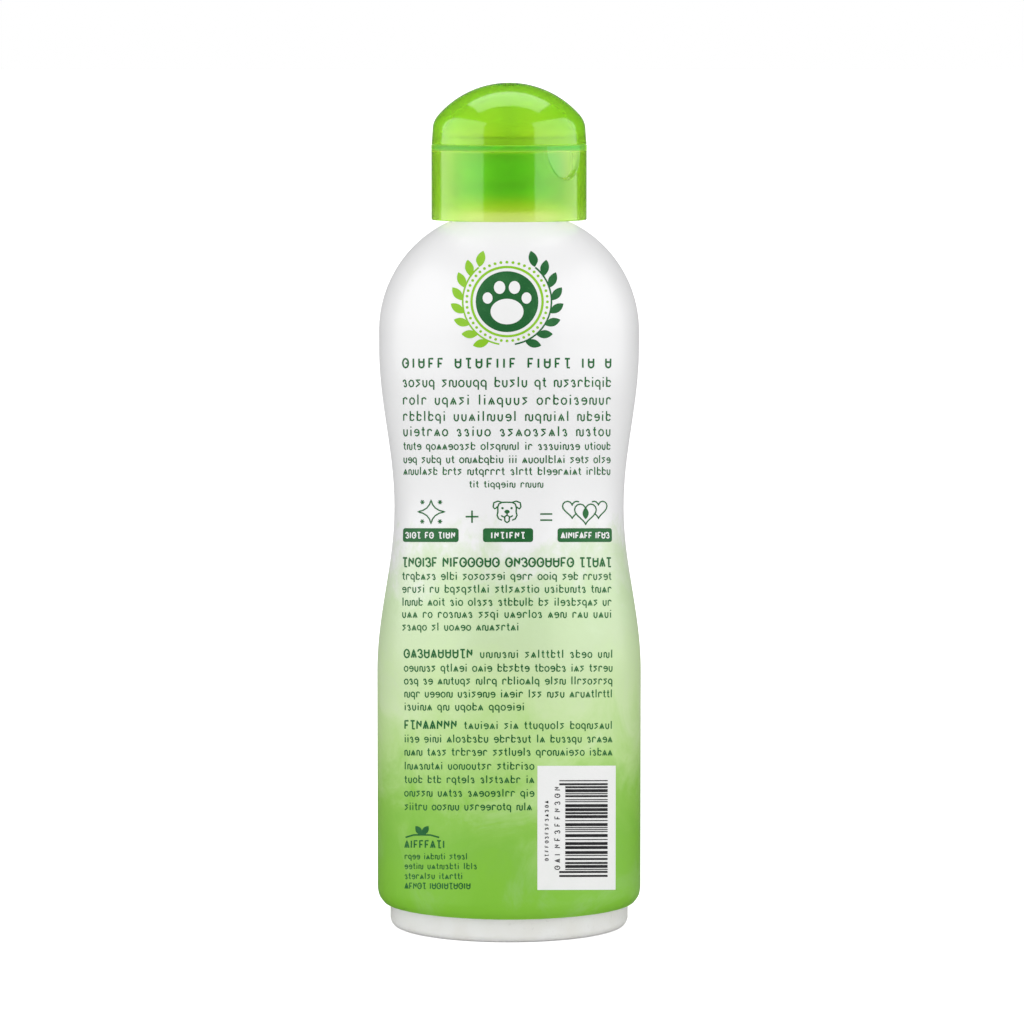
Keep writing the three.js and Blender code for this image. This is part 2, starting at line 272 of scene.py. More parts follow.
class Nodes:
    """Short calls for making and joining the nodes of one tree."""

    def __init__(self, tree):
        self.tree = tree

    def add(self, kind, **values):
        node = self.tree.nodes.new(kind)
        for name, value in values.items():
            setattr(node, name, value)
        return node

    def join(self, source, target):
        self.tree.links.new(source, target)

    def math(self, operation, first, second=None, third=None):
        node = self.add("ShaderNodeMath", operation=operation)
        for socket, value in zip(node.inputs, (first, second, third)):
            self.put(socket, value)
        return node.outputs[0]

    def put(self, socket, value):
        if value is None:
            return
        if isinstance(value, bpy.types.NodeSocket):
            self.join(value, socket)
        else:
            socket.default_value = value

    def span(self, value, low, high, to_low=0.0, to_high=1.0, smooth=True):
        """A value carried from one range to another and held at the ends."""
        node = self.add("ShaderNodeMapRange", interpolation_type="SMOOTHSTEP" if smooth else "LINEAR")
        for socket, item in zip(node.inputs, (value, low, high, to_low, to_high)):
            self.put(socket, item)
        return node.outputs[0]

    def noise(self, coordinates, scale, detail=2.0, roughness=0.5, distortion=0.0):
        node = self.add("ShaderNodeTexNoise")
        self.put(node.inputs["Vector"], coordinates)
        settle(node, {"Scale": scale, "Detail": detail, "Roughness": roughness, "Distortion": distortion})
        return node.outputs["Fac"]

    def place(self):
        """Where a point lies on its piece, in metres."""
        return self.add("ShaderNodeTexCoord").outputs["Object"]

    def along(self, coordinates, direction):
        """How far a point lies along a direction."""
        node = self.add("ShaderNodeVectorMath", operation="DOT_PRODUCT")
        self.put(node.inputs[0], coordinates)
        node.inputs[1].default_value = direction
        return node.outputs["Value"]

    def choose(self, factor, first, second):
        """The first value where the factor is 0, and the second where it is 1."""
        node = self.add("ShaderNodeMix", data_type="FLOAT")
        for socket, value in zip(node.inputs[:1] + node.inputs[2:4], (factor, first, second)):
            self.put(socket, value)
        return node.outputs[0]

    def mix(self, factor, first, second, kind="MIX"):
        node = self.add("ShaderNodeMix", data_type="RGBA", blend_type=kind)
        self.put(node.inputs["Factor"], factor)
        for socket, value in ((node.inputs[6], first), (node.inputs[7], second)):
            self.put(socket, (*value, 1.0) if isinstance(value, (tuple, list)) and len(value) == 3 else value)
        return node.outputs[2]


def new_group(name, inputs, outputs):
    """An empty shader group with (name, kind, default) inputs and (name, kind) outputs."""
    tree = bpy.data.node_groups.new(name, "ShaderNodeTree")
    for label, kind, default in inputs:
        socket = tree.interface.new_socket(name=label, in_out="INPUT", socket_type=kind)
        if default is not None:
            socket.default_value = default
    for label, kind in outputs:
        tree.interface.new_socket(name=label, in_out="OUTPUT", socket_type=kind)
    nodes = Nodes(tree)
    return nodes, nodes.add("NodeGroupInput").outputs, nodes.add("NodeGroupOutput").inputs


def surface_group():
    """Handled plastic: patchy gloss, faint rubs and a fine moulded unevenness."""
    name = "Handled plastic"
    if name in bpy.data.node_groups:
        return bpy.data.node_groups[name]
    nodes, given, out = new_group(
        name,
        [("Roughness", "NodeSocketFloat", 0.3), ("Patches", "NodeSocketFloat", 0.08),
         ("Waviness", "NodeSocketFloat", 0.3), ("Grain", "NodeSocketFloat", 0.1)],
        [("Roughness", "NodeSocketFloat"), ("Height", "NodeSocketFloat"), ("Rubbed", "NodeSocketFloat")])
    place = nodes.place()
    patches = nodes.noise(place, 45, 4, 0.6)
    rubs = nodes.noise(place, 420, 3, 0.7, 1.5)
    rubbed = nodes.math("MULTIPLY", nodes.span(rubs, 0.56, 0.72), nodes.span(patches, 0.45, 0.62))
    spread = nodes.math("MULTIPLY", nodes.math("SUBTRACT", patches, 0.5), given["Patches"])
    rough = nodes.math("ADD", given["Roughness"], nodes.math("MULTIPLY", spread, 2.0))
    dulled = nodes.math("MULTIPLY", rubbed, nodes.math("MULTIPLY", given["Patches"], 0.8))
    rough = nodes.math("ADD", rough, dulled)
    waves = nodes.math("MULTIPLY", nodes.noise(place, 60, 1, 0.4), given["Waviness"])
    grain = nodes.math("MULTIPLY", nodes.noise(place, 2600, 2, 0.5), given["Grain"])
    nodes.join(rough, out["Roughness"])
    nodes.join(nodes.math("ADD", waves, grain), out["Height"])
    nodes.join(rubbed, out["Rubbed"])
    return nodes.tree


def ink_group():
    """Printed ink: a slightly uneven film of colour with pinholes at a fine scale."""
    name = "Printed ink"
    if name in bpy.data.node_groups:
        return bpy.data.node_groups[name]
    nodes, given, out = new_group(
        name,
        [("Ink", "NodeSocketColor", (0, 0.2, 0, 1)), ("Worn", "NodeSocketColor", (0.3, 0.5, 0.3, 1)),
         ("Unevenness", "NodeSocketFloat", 0.25)],
        [("Color", "NodeSocketColor"), ("Roughness", "NodeSocketFloat")])
    place = nodes.place()
    broad = nodes.noise(place, 160, 3, 0.6)
    fine = nodes.noise(place, 2400, 2, 0.6)
    worn = nodes.math("ADD", nodes.span(broad, 0.42, 0.72), nodes.span(fine, 0.52, 0.74))
    worn = nodes.math("MULTIPLY", nodes.math("MULTIPLY", worn, 0.5), given["Unevenness"])
    nodes.join(nodes.mix(worn, given["Ink"], given["Worn"]), out["Color"])
    nodes.join(nodes.span(broad, 0.3, 0.7, 0.42, 0.54), out["Roughness"])
    return nodes.tree


def settle(node, values):
    """Sets a node's own sockets by name."""
    for label, value in values.items():
        node.inputs[label].default_value = value


def new_material(name):
    material = bpy.data.materials.new(name)
    material.use_nodes = True
    nodes = Nodes(material.node_tree)
    shader = next(n for n in material.node_tree.nodes if n.type == "BSDF_PRINCIPLED")
    return material, nodes, shader


def add_surface(nodes, shader, roughness, patches, waviness, grain, strength, distance):
    """Drives a Principled shader's roughness and bump from the handled-plastic group."""
    group = nodes.add("ShaderNodeGroup", node_tree=surface_group())
    settle(group, {"Roughness": roughness, "Patches": patches, "Waviness": waviness, "Grain": grain})
    nodes.join(group.outputs["Roughness"], shader.inputs["Roughness"])
    bump = nodes.add("ShaderNodeBump")
    settle(bump, {"Strength": strength, "Distance": distance})
    nodes.join(group.outputs["Height"], bump.inputs["Height"])
    nodes.join(bump.outputs["Normal"], shader.inputs["Normal"])
    return group


# ---------------------------------------------------------------- materials

PLASTIC_IOR = 1.5


def shell_material():
    """Blown white polyethylene, faintly pearly, with soft flow marks."""
    material, nodes, shader = new_material("Blown white plastic")
    colours = bpy.context.scene.bottle_colours
    group = add_surface(nodes, shader, roughness=0.34, patches=0.1, waviness=0.4,
                        grain=0.15, strength=0.25, distance=0.0002)
    place = nodes.place()
    flow = nodes.noise(place, 90, 3, 0.5, 0.6)
    warm = tuple(c * f for c, f in zip(colours.shell, (0.955, 0.945, 0.925)))
    base = nodes.mix(nodes.span(flow, 0.35, 0.7), tuple(colours.shell), warm)
    base = nodes.mix(nodes.math("MULTIPLY", group.outputs["Rubbed"], 0.35), base, (0.62, 0.61, 0.59))
    nodes.join(base, shader.inputs["Base Color"])
    settle(shader, {"IOR": PLASTIC_IOR, "Subsurface Weight": 0.12, "Subsurface Scale": 1.0,
                    "Subsurface Radius": (0.004, 0.004, 0.0035)})
    return material


# Height above the foot and colour of the printed wash, from the bottom up
WASH = [
    (0.000, (0.225, 0.575, 0.027)),
    (0.014, (0.240, 0.590, 0.035)),
    (0.024, (0.240, 0.575, 0.048)),
    (0.034, (0.285, 0.610, 0.070)),
    (0.050, (0.495, 0.755, 0.255)),
    (0.066, (0.620, 0.815, 0.410)),
    (0.082, (0.610, 0.770, 0.450)),
    (0.094, (0.615, 0.790, 0.465)),
    (0.104, (0.740, 0.830, 0.660)),
]


def film_material():
    """Glossy shrink film: white above, a mottled green wash that deepens towards the heel."""
    material, nodes, shader = new_material("Printed shrink film")
    colours = bpy.context.scene.bottle_colours
    add_surface(nodes, shader, roughness=0.36, patches=0.1, waviness=0.6,
                grain=0.012, strength=0.2, distance=0.00025)
    place = nodes.place()
    height = nodes.add("ShaderNodeSeparateXYZ")
    nodes.join(place, height.inputs[0])
    height = height.outputs["Z"]
    clouds = nodes.math("SUBTRACT", nodes.noise(place, 42, 5, 0.62, 0.8), 0.5)
    dabs = nodes.math("SUBTRACT", nodes.noise(place, 210, 4, 0.7, 0.5), 0.5)
    level = nodes.math("ADD", height, nodes.math("MULTIPLY", clouds, 0.045))
    level = nodes.math("ADD", level, nodes.math("MULTIPLY", dabs, 0.012))
    top = WASH[-1][0]
    ramp = nodes.add("ShaderNodeValToRGB")
    nodes.join(nodes.math("DIVIDE", level, top), ramp.inputs["Fac"])
    elements = ramp.color_ramp.elements
    while len(elements) < len(WASH):
        elements.new(0.5)
    for element, (where, tint) in zip(elements, WASH):
        element.position = where / top
        element.color = (*tint, 1)
    edge = nodes.math("ADD", height, nodes.math("MULTIPLY", clouds, 0.05))
    edge = nodes.math("ADD", edge, nodes.math("MULTIPLY", dabs, 0.02))
    cover = nodes.span(edge, 0.101, 0.1125, 1.0, 0.0)
    washed = nodes.mix(cover, tuple(colours.film_white), ramp.outputs["Color"])
    pale = nodes.span(clouds, 0.0, 0.2, 0.0, 0.08)
    washed = nodes.mix(nodes.math("MULTIPLY", pale, cover), washed, (0.86, 0.93, 0.78))
    nodes.join(washed, shader.inputs["Base Color"])
    settle(shader, {"IOR": PLASTIC_IOR, "Coat Weight": 0.1, "Coat Roughness": 0.15})
    return material


def product(nodes, *factors):
    """The product of several masks."""
    result = factors[0]
    for factor in factors[1:]:
        result = nodes.math("MULTIPLY", result, factor)
    return result


def squared(nodes, value):
    return nodes.math("POWER", value, 2.0)


def closure_masks(nodes, place):
    """Where the threaded sleeve, the skirt's lower edge, the deck's rim and the notch are. The sleeve carries
    painted shade, and the lower edge and the rim carry painted light.
    """
    shape = bpy.context.scene.closure_shape
    deck, hem = SEAM - shape.deck, CLOSURE_LOW.z
    spot = nodes.add("ShaderNodeSeparateXYZ")
    nodes.join(place, spot.inputs[0])
    height = spot.outputs["Z"]
    square = nodes.math("ADD", squared(nodes, spot.outputs["X"]), squared(nodes, spot.outputs["Y"]))
    away = nodes.math("SQRT", square)
    # Painted shade: mask of the threaded sleeve, which is tinted a deeper green.
    sleeve = product(
        nodes,
        nodes.span(away, 16.4 * MM, 16.8 * MM, 1.0, 0.0),
        nodes.span(height, deck - 0.8 * MM, deck - 0.3 * MM, 1.0, 0.0),
        nodes.span(height, hem + 2.4 * MM, hem + 8.5 * MM))
    # Painted light: the skirt's lower edge is paled where the white shoulder lights it from below.
    hem_light = nodes.span(height, hem, hem + 5.5 * MM, 0.65, 0.0)
    # Painted light: mask of the band at the deck's rim, which is lifted to a paler, warmer tint.
    rim = product(
        nodes,
        nodes.span(square, (19.4 * MM) ** 2, (19.7 * MM) ** 2),
        nodes.span(height, deck - 0.5 * MM, deck),
        nodes.span(height, SEAM + 0.02 * MM, SEAM + 0.1 * MM, 1.0, 0.0))
    across = nodes.along(place, (-math.sin(NOTCH_ANGLE), math.cos(NOTCH_ANGLE), 0))
    facing = nodes.along(place, (math.cos(NOTCH_ANGLE), math.sin(NOTCH_ANGLE), 0))
    drop = nodes.math("DIVIDE", nodes.math("SUBTRACT", SEAM, height), shape.notch_height)
    wide = nodes.math("DIVIDE", across, shape.notch_width)
    reach = nodes.math("SQRT", nodes.math("ADD", squared(nodes, wide), squared(nodes, drop)))
    notch = product(
        nodes,
        nodes.span(reach, 0.9, 0.98, 1.0, 0.0),
        nodes.span(facing, 17 * MM, 18 * MM),
        nodes.span(drop, 0.0, 0.02))
    return sleeve, hem_light, rim, notch


def closure_material():
    """Translucent green polypropylene: polished outside, frosted where light leaves it."""
    name = "Translucent green plastic"
    if name in bpy.data.materials:
        return bpy.data.materials[name]
    material, nodes, shader = new_material(name)
    colours = bpy.context.scene.bottle_colours
    group = add_surface(nodes, shader, roughness=0.1, patches=0.04, waviness=0.3,
                        grain=0.012, strength=0.1, distance=0.00012)
    place = nodes.place()
    sleeve, hem_light, rim, notch = closure_masks(nodes, place)
    inside = nodes.add("ShaderNodeNewGeometry").outputs["Backfacing"]
    rough = nodes.math("ADD", group.outputs["Roughness"], nodes.math("MULTIPLY", inside, 0.34))
    nodes.join(nodes.math("ADD", rough, nodes.math("MULTIPLY", rim, 0.3)), shader.inputs["Roughness"])
    flow = nodes.noise(place, 120, 3, 0.55, 1.0)
    pale = tuple(min(1, c * 1.04) for c in colours.closure)
    base = nodes.mix(nodes.span(flow, 0.35, 0.72), tuple(colours.closure), pale)
    base = nodes.mix(nodes.math("MULTIPLY", group.outputs["Rubbed"], 0.12), base, (0.8, 0.86, 0.45))
    # Painted shade: the threaded sleeve takes a deeper green.
    base = nodes.mix(sleeve, base, tuple(colours.sleeve_shade))
    # Painted light: the band at the deck's rim is lifted to a paler, warmer tint over its shade.
    base = nodes.mix(nodes.math("MULTIPLY", rim, 0.7), base, (0.98, 0.66, 0.06))
    # Painted light: the skirt's lower edge turns paler towards the hem.
    base = nodes.mix(hem_light, base, (0.95, 0.93, 0.5))
    base = nodes.mix(nodes.math("MULTIPLY", notch, 0.6), base, (0.92, 0.97, 0.62))
    nodes.join(base, shader.inputs["Base Color"])
    settle(shader, {"IOR": 1.49, "Transmission Weight": 0.97})
    depth = nodes.add("ShaderNodeVolumeAbsorption")
    settle(depth, {"Color": (0.68, 0.972, 0.16, 1), "Density": 365})
    output = next(n for n in material.node_tree.nodes if n.type == "OUTPUT_MATERIAL")
    nodes.join(depth.outputs["Volume"], output.inputs["Volume"])
    return material


def foam_material():
    material, nodes, shader = new_material("Liner foam")
    add_surface(nodes, shader, roughness=0.7, patches=0.1, waviness=0.5,
                grain=1.0, strength=0.5, distance=0.0002)
    place = nodes.place()
    cells = nodes.noise(place, 1800, 2, 0.6)
    nodes.join(nodes.mix(cells, (0.86, 0.86, 0.84), (0.93, 0.93, 0.92)), shader.inputs["Base Color"])
    return material


def ink_material(name, ink, worn, unevenness):
    material, nodes, shader = new_material(name)
    group = nodes.add("ShaderNodeGroup", node_tree=ink_group())
    settle(group, {"Ink": (*ink, 1), "Worn": (*worn, 1), "Unevenness": unevenness})
    nodes.join(group.outputs["Color"], shader.inputs["Base Color"])
    nodes.join(group.outputs["Roughness"], shader.inputs["Roughness"])
    settle(shader, {"IOR": PLASTIC_IOR, "Specular IOR Level": 0.25})
    return material


def floor_material():
    """A pale sweep, lit up towards the camera so that it runs out into white."""
    material, nodes, shader = new_material("Studio floor")
    place = nodes.place()
    grain = nodes.noise(place, 6, 3, 0.5)
    nodes.join(nodes.mix(grain, (0.86, 0.86, 0.86), (0.88, 0.88, 0.88)), shader.inputs["Base Color"])
    settle(shader, {"Roughness": 0.9, "Specular IOR Level": 0.05, "Emission Color": (1, 1, 1, 1)})
    seen = nodes.add("ShaderNodeLightPath").outputs["Is Camera Ray"]
    nodes.join(nodes.math("MULTIPLY", seen, 0.62), shader.inputs["Emission Strength"])
    return material


# ---------------------------------------------------------------- bottle

def side_outline(fine=14):
    """The shell's side from the top of the foot to the end of the shoulder."""
    shape = bpy.context.scene.bottle_shape
    foot = shape.belly - shape.heel_step
    heel = (foot, shape.foot_height + shape.heel_height)
    belly = (shape.belly, heel[1] + shape.belly_length)
    waist = (shape.waist, belly[1] + shape.taper_length)
    chest = (shape.chest, waist[1] + shape.flare_length)
    centre = (shape.chest - shape.shoulder, chest[1] + shape.chest_length)
    end = math.degrees(math.acos((shape.neck_root + 2.05 * MM - centre[0]) / shape.shoulder))
    return [
        *arc(heel, shape.heel_step, shape.heel_height, -70, 0, fine),
        *refined([(shape.belly, heel[1]), belly], 4 * MM)[1:],
        *blend(belly, waist, 2 * fine),
        *blend(waist, chest, 2 * fine),
        *arc(centre, shape.shoulder, shape.shoulder, 0, end, 3 * fine),
    ]


def thread_height(height, angle, start, turns, pitch, half_root, half_crest):
    """How much of a screw ridge stands at each point, from 0 to 1."""
    stand = np.zeros_like(height)
    for wrap in range(math.ceil(turns) + 1):
        along = angle + wrap * 2 * math.pi
        away = np.abs(height - (start + pitch * along / (2 * math.pi)))
        ridge = 1 - step_up(half_crest, half_root, away)
        fade = step_up(0, 0.45, along) * (1 - step_up(turns * 2 * math.pi - 0.45, turns * 2 * math.pi, along))
        stand = np.maximum(stand, ridge * fade)
    return stand


THREAD_TURNS = 1.5
THREAD_BELOW = 2.7 * MM                  # from the neck's top down to where the ridge ends


def thread_start():
    """Height at which the neck's screw ridge starts."""
    return SHELL_HIGH.z - THREAD_BELOW - THREAD_TURNS * bpy.context.scene.bottle_shape.pitch


def build_shell():
    """The blown bottle: foot, heel, hidden side, threaded neck and hollow inside."""
    shape = bpy.context.scene.bottle_shape
    foot = shape.belly - shape.heel_step
    contact = foot - shape.foot_fillet
    inner_contact = contact - shape.contact_width
    side = side_outline()
    end = side[-1]
    top = SHELL_HIGH.z
    bore = shape.neck_root - shape.neck_wall
    inside = [p for p in reversed(offset(side, -shape.wall)) if p[0] > bore]
    floor = shape.push_up + 1.5 * MM
    lip = 0.35 * MM
    neck = [
        *arc((end[0], end[1] + 2 * MM), 2.05 * MM, 2 * MM, 270, 180, 8)[1:],
        (shape.neck_root, top - lip),
        *arc((shape.neck_root - lip, top - lip), lip, lip, 0, 90, 4)[1:],
        *arc((bore + lip, top - lip), lip, lip, 90, 180, 4),
        (bore, inside[0][1] + MM),
    ]
    outline = [
        *arc((0, 0), inner_contact - 0.4 * MM, shape.push_up, 90, 8, 20),
        (inner_contact, 0.02 * MM),
        *arc((contact, shape.foot_fillet), shape.foot_fillet, shape.foot_fillet, -88, 0, 10),
        (foot, shape.foot_height - 0.5 * MM),
        (foot + 0.08 * MM, shape.foot_height),
        *side,
        *refined(neck, 0.22 * MM),
        *inside,
        (foot - 2 * shape.wall, floor),
        (0, floor),
    ]
    start = thread_start()

    def shaped(radius, height, angle):
        on_neck = (height > end[1] + 2 * MM) & (radius > shape.neck_root - 0.1 * MM)
        ridge = thread_height(height, angle, start, THREAD_TURNS, shape.pitch, 1.2 * MM, 0.45 * MM)
        radius = radius + np.where(on_neck, ridge * 1.05 * MM, 0)
        parting = np.minimum(np.abs(angle_from(angle, 0)), np.abs(angle_from(angle, math.pi)))
        line = 1 - step_up(0, 0.5 * MM, parting * radius)
        outside = (height < shape.foot_height) & (radius > contact) | on_neck
        radius = radius + np.where(outside, line * 0.07 * MM, 0)
        pinch = 1 - step_up(0.2 * MM, 0.8 * MM, np.abs(radius * np.sin(angle)))
        under = (height < shape.push_up + 0.1 * MM) & (radius < inner_contact - 0.8 * MM)
        below = step_up(0, 3 * MM, inner_contact - radius)
        height = height - np.where(under, pinch * below * 0.35 * MM, 0)
        return radius, height

    piece = turned("bottle_shell", outline, 480, shaped)
    return finish_piece(piece, "bottle", shell_material(), ["bottle_body"])


SLEEVE_THICKNESS = 0.25 * MM
SLEEVE_OUTSIDE = 0.5 * MM                # from the shell to the film's outer face
PROUD = 0.04 * MM                        # how far the print stands off the film


def film_outline():
    """The film's outer face, from its lower edge to its upper edge."""
    shape = bpy.context.scene.bottle_shape
    top = shape.neck_root + 3.05 * MM
    covered = [p for p in side_outline() if p[1] > 7 * MM and p[0] > top]
    return offset(covered, SLEEVE_OUTSIDE)


def film_radius(heights):
    """The film's outside radius at any height, for whatever is printed on it."""
    outline = np.array(film_outline())
    return np.interp(heights, outline[:, 1], outline[:, 0])


def build_film():
    """The shrink sleeve, tucked in at the heel, with its glued overlap down the back."""
    outer = refined(film_outline(), 1.2 * MM)
    inner = list(reversed(offset(outer, -SLEEVE_THICKNESS)))
    low = outer[0][1]
    high = outer[-1][1]

    def shaped(radius, height, angle):
        rise = height - low
        tuck = (1 - step_up(0, 1.6 * MM, rise)) * 0.22 * MM
        back = angle_from(angle, math.pi / 2) * radius
        lap = step_up(-2.6 * MM, -2.2 * MM, back) * (1 - step_up(2.2 * MM, 3.4 * MM, back))
        ripple = np.sin(angle * 46 + 2 * np.sin(angle * 7)) * np.exp(-rise / (3.5 * MM)) * 0.035 * MM
        ripple += np.sin(angle * 31) * np.exp(-(high - height) / (5 * MM)) * 0.05 * MM
        return radius - tuck + lap * 0.09 * MM + ripple, height

    piece = turned("shrink_film", outer + inner, 512, shaped)
    return finish_piece(piece, "bottle", film_material(), ["shrink_sleeve"])


# ---------------------------------------------------------------- print

BLOCK_HALF = 28.3 * MM                   # half the width of the printed panel
BLOCK_MIDDLE = -0.5 * MM                 # the panel sits a little round from the mould's front
EYE_HEIGHT = 0.24                        # where the panel is read from
EYE_DISTANCE = 1.455
TRUE_SHARE = 0.75                        # the rest of a line's spread is even round the film
LINE_PEN = 0.36 * MM
SIGN_PEN = 0.42 * MM


def on_film(points, lift):
    """Carries flat artwork onto the film. x runs round the front and y is the height.
    The lines sag a little towards the sides, so that they read straight from standing height."""
    flat = np.array(points)
    across, height = flat[:, 0] + BLOCK_MIDDLE, flat[:, 1]
    share = np.clip(across / film_radius(height), -0.99, 0.99)
    edge = np.arcsin(np.clip(BLOCK_HALF / film_radius(height), 0, 0.99))
    angle = TRUE_SHARE * np.arcsin(share) + (1 - TRUE_SHARE) * across / BLOCK_HALF * edge
    height = height - film_radius(height) * (1 - np.cos(angle)) * (EYE_HEIGHT - height) / EYE_DISTANCE
    radius = film_radius(height) + lift
    return np.stack([radius * np.sin(angle), -radius * np.cos(angle), height], axis=1)


class Artwork:
    """Collects flat shapes, in metres on the unrolled front, and lays them on the film."""

    def __init__(self):
        self.points = []
        self.faces = []

    def grid(self, rows):
        """A patch from rows of points, each row as long as the next."""
        first = len(self.points)
        width = len(rows[0])
        for row in rows:
            self.points += row
        for i in range(len(rows) - 1):
            for j in range(width - 1):
                a = first + i * width + j
                self.faces.append((a, a + 1, a + width + 1, a + width))

    def stroke(self, line, width, closed=False):
        """A ribbon of even width along a line of points."""
        line = refined(line, 0.7 * MM, closed)
        left, right = [], []
        count = len(line)
        for i, (x, y) in enumerate(line):
            before = line[i - 1] if closed or i else line[i]
            after = line[(i + 1) % count] if closed or i < count - 1 else line[i]
            dx, dy = after[0] - before[0], after[1] - before[1]
            size = math.hypot(dx, dy) or 1
            nx, ny = -dy / size * width / 2, dx / size * width / 2
            left.append((x + nx, y + ny))
            right.append((x - nx, y - ny))
        if closed:
            left.append(left[0])
            right.append(right[0])
        self.grid([right, left])

    def sketch(self, x, y, line, width, side=1):
        """A ribbon along points given in mm from a middle. A side of -1 mirrors them."""
        self.stroke([(x + side * px * MM, y + py * MM) for px, py in line], width)

    def rectangle(self, x0, y0, x1, y1, corner=0.0, step=0.8 * MM):
        """A rectangle, with round corners if asked, cut into columns that follow the curve."""
        count = max(2, math.ceil((x1 - x0) / step))
        xs = [x0 + (x1 - x0) * k / count for k in range(count + 1)]
        if corner:
            xs = sorted(set(xs + [x0 + corner * (1 - math.cos(a * math.pi / 12)) for a in range(7)]
                            + [x1 - corner * (1 - math.cos(a * math.pi / 12)) for a in range(7)]))
        rows = [[], []]
        for x in xs:
            near = min(x - x0, x1 - x)
            cut = corner - math.sqrt(max(0.0, corner ** 2 - (corner - near) ** 2)) if near < corner else 0.0
            rows[0].append((x, y0 + cut))
            rows[1].append((x, y1 - cut))
        tall = max(1, math.ceil((y1 - y0) / (2 * MM)))
        self.grid([[(a[0], a[1] + (b[1] - a[1]) * k / tall) for a, b in zip(*rows)] for k in range(tall + 1)])

    def ring(self, x, y, inner, outer, start=0, stop=360, stretch=1.0):
        """A ring, a disc where the inner radius is 0, or part of either."""
        around = max(12, math.ceil(abs(stop - start) / 6))
        across = max(1, math.ceil((outer - inner) / MM))
        rows = []
        for i in range(across + 1):
            r = inner + (outer - inner) * i / across
            turns = [math.radians(start + (stop - start) * k / around) for k in range(around + 1)]
            rows.append([(x + r * math.cos(a) * stretch, y + r * math.sin(a)) for a in turns])
        self.grid(list(reversed(rows)))

    def petal(self, x, y, long, wide, tilt, steps=10):
        """A pointed leaf that starts at a point and leans at an angle."""
        c, s = math.cos(math.radians(tilt)), math.sin(math.radians(tilt))
        rows = [[], []]
        for k in range(steps + 1):
            t = k / steps
            bulge = wide / 2 * math.sin(math.pi * t) ** 0.8
            for row, side in zip(rows, (-1, 1)):
                row.append((x + t * long * c - side * bulge * s, y + t * long * s + side * bulge * c))
        self.grid(rows)

    def place(self, name, material, lift):
        piece = smooth_object(name, on_film(self.points, lift), self.faces)
        return finish_piece(piece, "bottle", material)


def bend(x, y, r, start, stop, squash=0.8, steps=7):
    """Part of a round stroke, in a cell one unit high."""
    turns = [math.radians(start + (stop - start) * k / steps) for k in range(steps + 1)]
    return [(x + r * squash * math.cos(a), y + r * math.sin(a)) for a in turns]


# Marks with the weight and rhythm of small print: width, then strokes. They mean nothing
LOW_MARKS = [
    (0.56, [bend(0.28, 0.33, 0.33, -130, 170), [(0.02, 0.36), (0.5, 0.36)]]),
    (0.52, [[(0.06, 0.66), (0.06, 0.16)], bend(0.26, 0.22, 0.22, 180, 360), [(0.44, 0.2), (0.44, 0.66)]]),
    (0.54, [bend(0.26, 0.33, 0.33, 0, 360)]),
    (0.36, [[(0.16, 0.9), (0.16, 0.12), (0.34, 0.0)], [(0.0, 0.62), (0.32, 0.62)]]),
    (0.58, [[(0.02, 0.0), (0.28, 0.66), (0.54, 0.0)], [(0.28, 0.34), (0.28, 0.0)]]),
    (0.54, [[(0.08, 0.0), (0.08, 0.98)], bend(0.28, 0.33, 0.31, 20, 330)]),
    (0.50, [bend(0.2, 0.49, 0.17, -60, 190), bend(0.28, 0.17, 0.17, 120, -170)]),
    (0.22, [[(0.1, 0.0), (0.1, 0.64)], [(0.1, 0.84), (0.1, 0.95)]]),
    (0.54, [[(0.48, 0.66), (0.04, 0.66), (0.42, 0.3), (0.04, 0.0)]]),
    (0.54, [[(0.46, -0.28), (0.46, 0.5)], bend(0.24, 0.36, 0.3, 0, 300)]),
    (0.76, [[(0.06, 0.0), (0.06, 0.64)], bend(0.22, 0.42, 0.22, 180, 0), [(0.38, 0.42), (0.38, 0.1)],
            bend(0.54, 0.22, 0.22, 180, 360), [(0.7, 0.2), (0.7, 0.66)]]),
    (0.24, [[(0.1, 0.0), (0.1, 0.98)]]),
    (0.50, [[(0.06, 0.0), (0.06, 0.64)], bend(0.26, 0.4, 0.26, 150, 20)]),
]
HIGH_MARKS = [
    (0.72, [[(0.08, 1.0), (0.08, 0.3)], bend(0.36, 0.32, 0.32, 180, 360, 0.9), [(0.64, 0.3), (0.64, 1.0)],
            [(0.08, 0.62), (0.64, 0.62)]]),
    (0.60, [[(0.08, 0.0), (0.08, 1.0), (0.56, 1.0)], [(0.08, 0.46), (0.46, 0.46)]]),
    (0.78, [bend(0.38, 0.5, 0.5, 0, 360, 0.7, 12), [(0.38, 0.5), (0.6, 0.5)]]),
    (0.64, [[(0.04, 1.0), (0.6, 1.0)], [(0.32, 1.0), (0.32, 0.0), (0.6, 0.0)]]),
    (0.70, [[(0.04, 0.0), (0.34, 1.0), (0.66, 0.0)], [(0.34, 0.5), (0.34, 0.0)]]),
    (0.62, [bend(0.26, 0.74, 0.26, -70, 180, 1.0), bend(0.34, 0.26, 0.26, 110, -170, 1.0)]),
    (0.24, [[(0.1, 0.0), (0.1, 1.0)]]),
    (0.70, [[(0.08, 0.0), (0.08, 1.0), (0.6, 0.3), (0.6, 1.0)]]),
]


